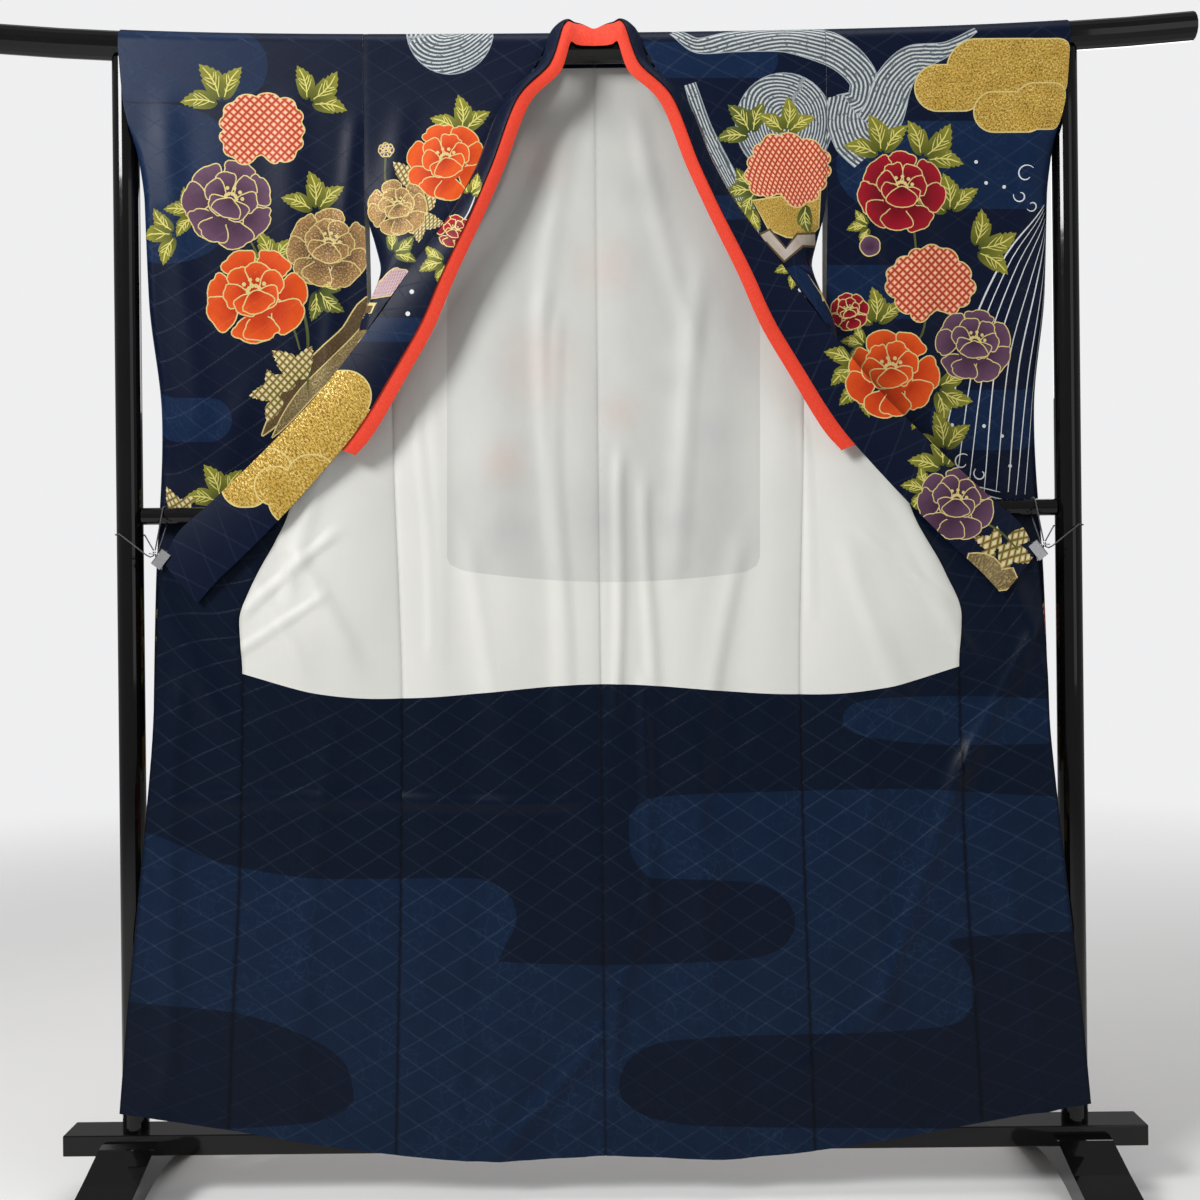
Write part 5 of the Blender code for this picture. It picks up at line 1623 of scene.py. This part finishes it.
def crepe(name, colour):
    """Red silk crepe with a fine pebbled surface."""
    look = Look(name, roughness=0.62, sheen_weight=0.12, sheen_roughness=0.5,
                specular_ior_level=0.25)
    look.set("Sheen Tint", (1.0, 0.45, 0.30, 1.0))
    spot, u, v = look.uv()
    pebble = look.node("TexVoronoi", 0, {"feature": "F1"}, Vector=spot, Scale=760.0, Randomness=0.8)
    soft = look.noise(spot, 14.0, 4.0, 0.6)
    base = look.mix(soft, colour, toned(0.80, colour))
    base = look.mix(look.smooth(pebble, 0.35, 0.75) * 0.30, base, (0.88, 0.14, 0.07))
    look.set("Base Color", base)
    look.set("Roughness", 0.56 + 0.14 * soft)
    look.bump(pebble + 0.2 * silk_weave(look, u, v, 0.0014), 0.00022)
    return look.material


def lacquer(name):
    """Black lacquer over smoothed wood: dark, glossy, faint dust and brush waves."""
    look = Look(name, roughness=0.12, coat_weight=0.30, coat_roughness=0.03,
                specular_ior_level=0.16)
    spot = look.node("TexCoord", "Object")
    sweep = look.drawn_out(spot, (3.0, 40.0, 40.0), 2.0)
    dust = look.smooth(look.noise(spot, 420.0, 2.0, 0.6), 0.62, 0.74)
    wear = look.noise(spot, 7.0, 4.0, 0.6)
    base = look.mix(wear, (0.0016, 0.0016, 0.0018), (0.0048, 0.0044, 0.0044))
    look.set("Base Color", look.mix(dust * 0.04, base, (0.10, 0.10, 0.095)))
    look.set("Roughness", 0.05 + 0.07 * wear + 0.10 * dust)
    look.bump(sweep + 0.25 * wear, 0.0003, 0.35)
    return look.material


def steel(name):
    """Brushed steel."""
    look = Look(name, metallic=1.0, roughness=0.25)
    brush = look.drawn_out(look.node("TexCoord", "Object"), (60.0, 60.0, 1400.0), 3.0)
    look.set("Base Color", look.mix(brush, (0.74, 0.74, 0.75), (0.52, 0.52, 0.54)))
    look.set("Roughness", 0.16 + 0.22 * brush)
    look.bump(brush, 0.00004)
    return look.material


def braid(name):
    """Black twisted cord."""
    look = Look(name, roughness=0.75, sheen_weight=0.3)
    parts = look.node("SeparateXYZ", "X", Vector=look.node("TexCoord", "Object"))
    twist = look.wave((parts + parts.also("Y") + parts.also("Z")) * 5200.0)
    lit = look.smooth(twist, -0.6, 0.8)
    look.set("Base Color", look.mix(lit, (0.006, 0.006, 0.007), (0.030, 0.030, 0.034)))
    look.set("Roughness", 0.68 + 0.12 * twist)
    look.bump(twist, 0.0002)
    return look.material


def ground(name):
    """Pale floor that fades out at its rim."""
    look = Look(name, roughness=0.85, specular_ior_level=0.15)
    spot = look.node("TexCoord", "Object")
    soft = look.noise(spot, 2.0, 3.0)
    look.set("Base Color", look.mix(soft, (0.78, 0.775, 0.77), (0.74, 0.735, 0.73)))
    look.set("Roughness", 0.80 + 0.1 * soft)
    x = look.node("SeparateXYZ", "X", Vector=spot)
    away = look.maths("SQRT", x * x + x.also("Y") * x.also("Y"))
    look.set("Alpha", look.smooth(away, 4.6, 1.5))
    return look.material


def make_camera():
    """Camera whose view the painted places are given in."""
    data = bpy.data.cameras.new("view")
    data.lens = SENSOR * FOCAL / VIEW
    data.sensor_width = SENSOR
    data.clip_start = 0.05
    data.clip_end = 60.0
    camera = add_object("view", data)
    camera.location = (0.0, -REACH, EYE_Z)
    camera.rotation_euler = (math.pi / 2, TILT, 0.0)
    bpy.context.scene.camera = camera


def cord_path(side, kind):
    """The tied cord's route: from the ring, round the post or the bar, back to the ring."""
    ring_at = np.array(RING)
    if kind == "post":
        turn = np.radians(np.linspace(-63.0, 151.0, 25))
        away = (POST_X + POST_LOOP * np.cos(turn), POST_LOOP * np.sin(turn),
                RING[2] + 0.030 + 0 * turn)
        loop = ring_at + np.array([(0.001, -0.0014, 0.003), (0.001, -0.0014, -0.003),
                                   (0.0055, -0.0014, -0.0048), (0.0110, -0.0014, -0.0020)])
    else:
        turn = np.radians(np.linspace(-52.0, 150.0, 24))
        away = (RING[0] - 0.0005 + 0 * turn, BAR_LOOP * np.cos(turn),
                BAR_Z + BAR_LOOP * np.sin(turn))
        loop = ring_at + np.array([(-0.0005, 0.0022, 0.003), (-0.0005, 0.0022, -0.003),
                                   (-0.0005, 0.0062, -0.0050), (-0.0005, 0.0098, -0.0020)])
    spots = np.concatenate([loop, np.stack(away, axis=-1), loop[:1] + np.array([0.0, 0.0, 0.0022])])
    return spots * np.array([side, 1.0, 1.0])


def make_cord(name, side, kind, material):
    """Taut cord from a clip's ring round the post or the crossbar."""
    spots = cord_path(side, kind)
    data = bpy.data.curves.new(name, "CURVE")
    data.dimensions = "3D"
    line = data.splines.new("POLY")
    line.points.add(len(spots) - 1)
    line.points.foreach_set("co", np.concatenate([spots, np.ones((len(spots), 1))], axis=1).ravel())
    data.bevel_depth = 0.0010
    data.bevel_resolution = 3
    data.use_fill_caps = True
    data.materials.append(material)
    obj = add_object(name, data)
    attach(obj, "root")
    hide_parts(name)


def make_light(name, at, size, power):
    """White area light, aimed at the garment's middle."""
    data = bpy.data.lights.new(name, "AREA")
    data.shape = "RECTANGLE"
    data.size, data.size_y = size
    data.energy = power
    light = add_object(name, data)
    light.location = at
    way = np.array((0.0, 0.0, 0.9)) - np.array(at)
    light.rotation_euler = (math.atan2(math.hypot(way[0], way[1]), -way[2]), 0.0,
                            math.atan2(way[1], way[0]) - math.pi / 2)


def make_stage():
    """Pale floor that fades out at its rim, an even pale surround, soft lights."""
    mesh = bpy.data.meshes.new("floor")
    corners = [(-FLOOR, -FLOOR, 0), (FLOOR, -FLOOR, 0), (FLOOR, FLOOR, 0), (-FLOOR, FLOOR, 0)]
    mesh.from_pydata(corners, [], [(0, 1, 2, 3)])
    mesh.materials.append(ground("floor"))
    add_object("floor", mesh)
    world = bpy.data.worlds.new("studio")
    world.use_nodes = True
    nodes = world.node_tree.nodes
    back = nodes["Background"]
    back.inputs["Color"].default_value = (0.865, 0.865, 0.875, 1.0)
    path = nodes.new("ShaderNodeLightPath")
    share = nodes.new("ShaderNodeMath")
    share.operation = "MULTIPLY_ADD"
    share.inputs[1].default_value = 0.68    # added for the camera alone
    share.inputs[2].default_value = 0.32
    world.node_tree.links.new(path.outputs["Is Camera Ray"], share.inputs[0])
    world.node_tree.links.new(share.outputs[0], back.inputs["Strength"])
    bpy.context.scene.world = world
    bpy.context.scene.view_settings.view_transform = "Standard"
    make_light("key", (-2.3, -2.4, 2.9), (1.1, 1.1), 130.0)
    make_light("fill", (2.6, -2.8, 1.6), (1.8, 2.2), 13.0)
    make_light("top", (0.0, -0.5, 3.6), (2.2, 1.0), 28.0)
    make_light("back", (1.2, 3.2, 2.6), (2.4, 2.0), 55.0)


def finish_piece(piece, slot, flat, held, rests_on, *nodes):
    """What a cloth piece rides on and stands for; what it is cut from and what it rests on are not
    used.
    """
    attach(piece, "root")
    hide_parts(*nodes)


def edges(marks, least, reach):
    """Fine places for spaced() at both ends of a scale."""
    return [(0.0, least, reach), (float(marks[-1]), least, reach)]


def dress():
    """Every sewn piece of the garment, side by side, then the two collars."""
    navy = dyed_silk("navy_silk", (0.0020, 0.0052, 0.0190), (0.0044, 0.0165, 0.0530), 0.40, 0.02,
                     True)
    hem = dyed_silk("navy_lining", (0.0016, 0.0050, 0.0150), (0.0036, 0.0135, 0.0390), 0.34, 0.02,
                    False)
    ivory = plain_silk("ivory_lining", (0.70, 0.70, 0.655), 0.46, 0.25, 0.0009, 0.16)
    red = crepe("red_silk", (0.78, 0.036, 0.012))
    front = front_pattern()
    behind = back_pattern()
    within = lining_pattern()
    for tag, side in SIDES:
        body, marks = body_cloth(side)
        arch = [(float(body.v[marks["ridge"]]), 0.003, 0.03)]
        works = [("shown", front), ("turned", behind), ("behind", behind)]
        piece = sew("body_" + tag + "_cloth", body, works, BODY_STEP, SHELL, [navy],
                    edges(body.u, 0.0020, 0.004), arch)
        finish_piece(piece, "navy_silk", (0.33, 3.36), "hung", ["rail"], "front_" + tag,
                     "back_" + tag)
        over = overlap_cloth(side)
        piece = sew("okumi_" + tag + "_cloth", over, [("turned", behind)], BODY_STEP, SHELL, [navy])
        finish_piece(piece, "navy_silk", (0.16, 1.12), "hung", ["body_" + tag + "_cloth"],
                     "okumi_" + tag)
        linings = (
            ("hem_front_", 0, marks["navy_front"], hem, "navy_lining", (0.225, 0.69)),
            ("lining_front_", marks["navy_front"], marks["open_out"], ivory, "ivory_lining",
             (0.20, 0.55)),
            ("lining_back_", marks["back_top"], marks["navy_back"], ivory, "ivory_lining",
             (0.31, 0.93)),
            ("hem_back_", marks["navy_back"], len(body.v) - 1, hem, "navy_lining", (0.30, 0.68)),
            ("hem_okumi_", 0, len(over.v) - 11, hem, "navy_lining", (0.155, 1.08)),
        )
        for name, first, last, material, slot, flat in linings:
            panel, outer = (over, "okumi_") if name == "hem_okumi_" else (body, "body_")
            cloth = inner_side(panel, first, last, panel is body)
            works = [(view, within) for view in cloth.views]
            sewn = edges(cloth.u, 0.0012, 0.003)[:2 if panel is body else 1]
            piece = sew(name + tag + "_cloth", cloth, works, LINING_STEP, THIN_SHELL, [material],
                        sewn, (), True)
            finish_piece(piece, slot, flat, "hung", [outer + tag + "_cloth"], name + tag)
        bag = sleeve_cloth(side)
        tight = edges(bag.v, 0.0016, 0.004) + [(0.5 * float(bag.v[-1]), 0.003, 0.03)]
        works = [("shown", front), ("behind", behind)]
        piece = sew("sleeve_" + tag + "_cloth", bag, works, SLEEVE_STEP, SHELL,
                    [navy, ivory], edges(bag.u, 0.0016, 0.004)[1:], tight)
        finish_piece(piece, "navy_silk", (0.35, 2.24), "hung", ["rail"], "sleeve_" + tag)
    art = collar_pattern()
    works = [("shown_L", art), ("shown_R", art)]
    piece = sew("collar_cloth", collar_cloth(), works, COLLAR_STEP, BAND - 0.0004, [navy])
    finish_piece(piece, "navy_silk", (0.062, 2.16), "folded", ["rail"], "collar")
    piece = sew("inner_collar_cloth", inner_cloth(), [], INNER_STEP, LINING, [red])
    finish_piece(piece, "red_silk", (0.040, 1.90), "folded", ["collar_cloth"], "inner_collar")


def finish_stand():
    """Lacquer on the stand and steel on the clips, by their names in the CAD."""
    finishes = dict.fromkeys(("rail", "crossbar", "base_board", "post", "foot"),
                             lacquer("black_lacquer"))
    finishes["clip"] = steel("steel")
    for name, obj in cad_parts.items():
        finish = finishes.get(name) or finishes.get(name.rsplit("_", 1)[0])
        if finish:
            for slot in obj.material_slots:
                slot.material = finish


make_camera()
cord_look = braid("black_cord")
for tag, side in SIDES:
    for kind in ("post", "bar"):
        make_cord("cord_" + kind + "_" + tag, side, kind, cord_look)
make_stage()
dress()
finish_stand()
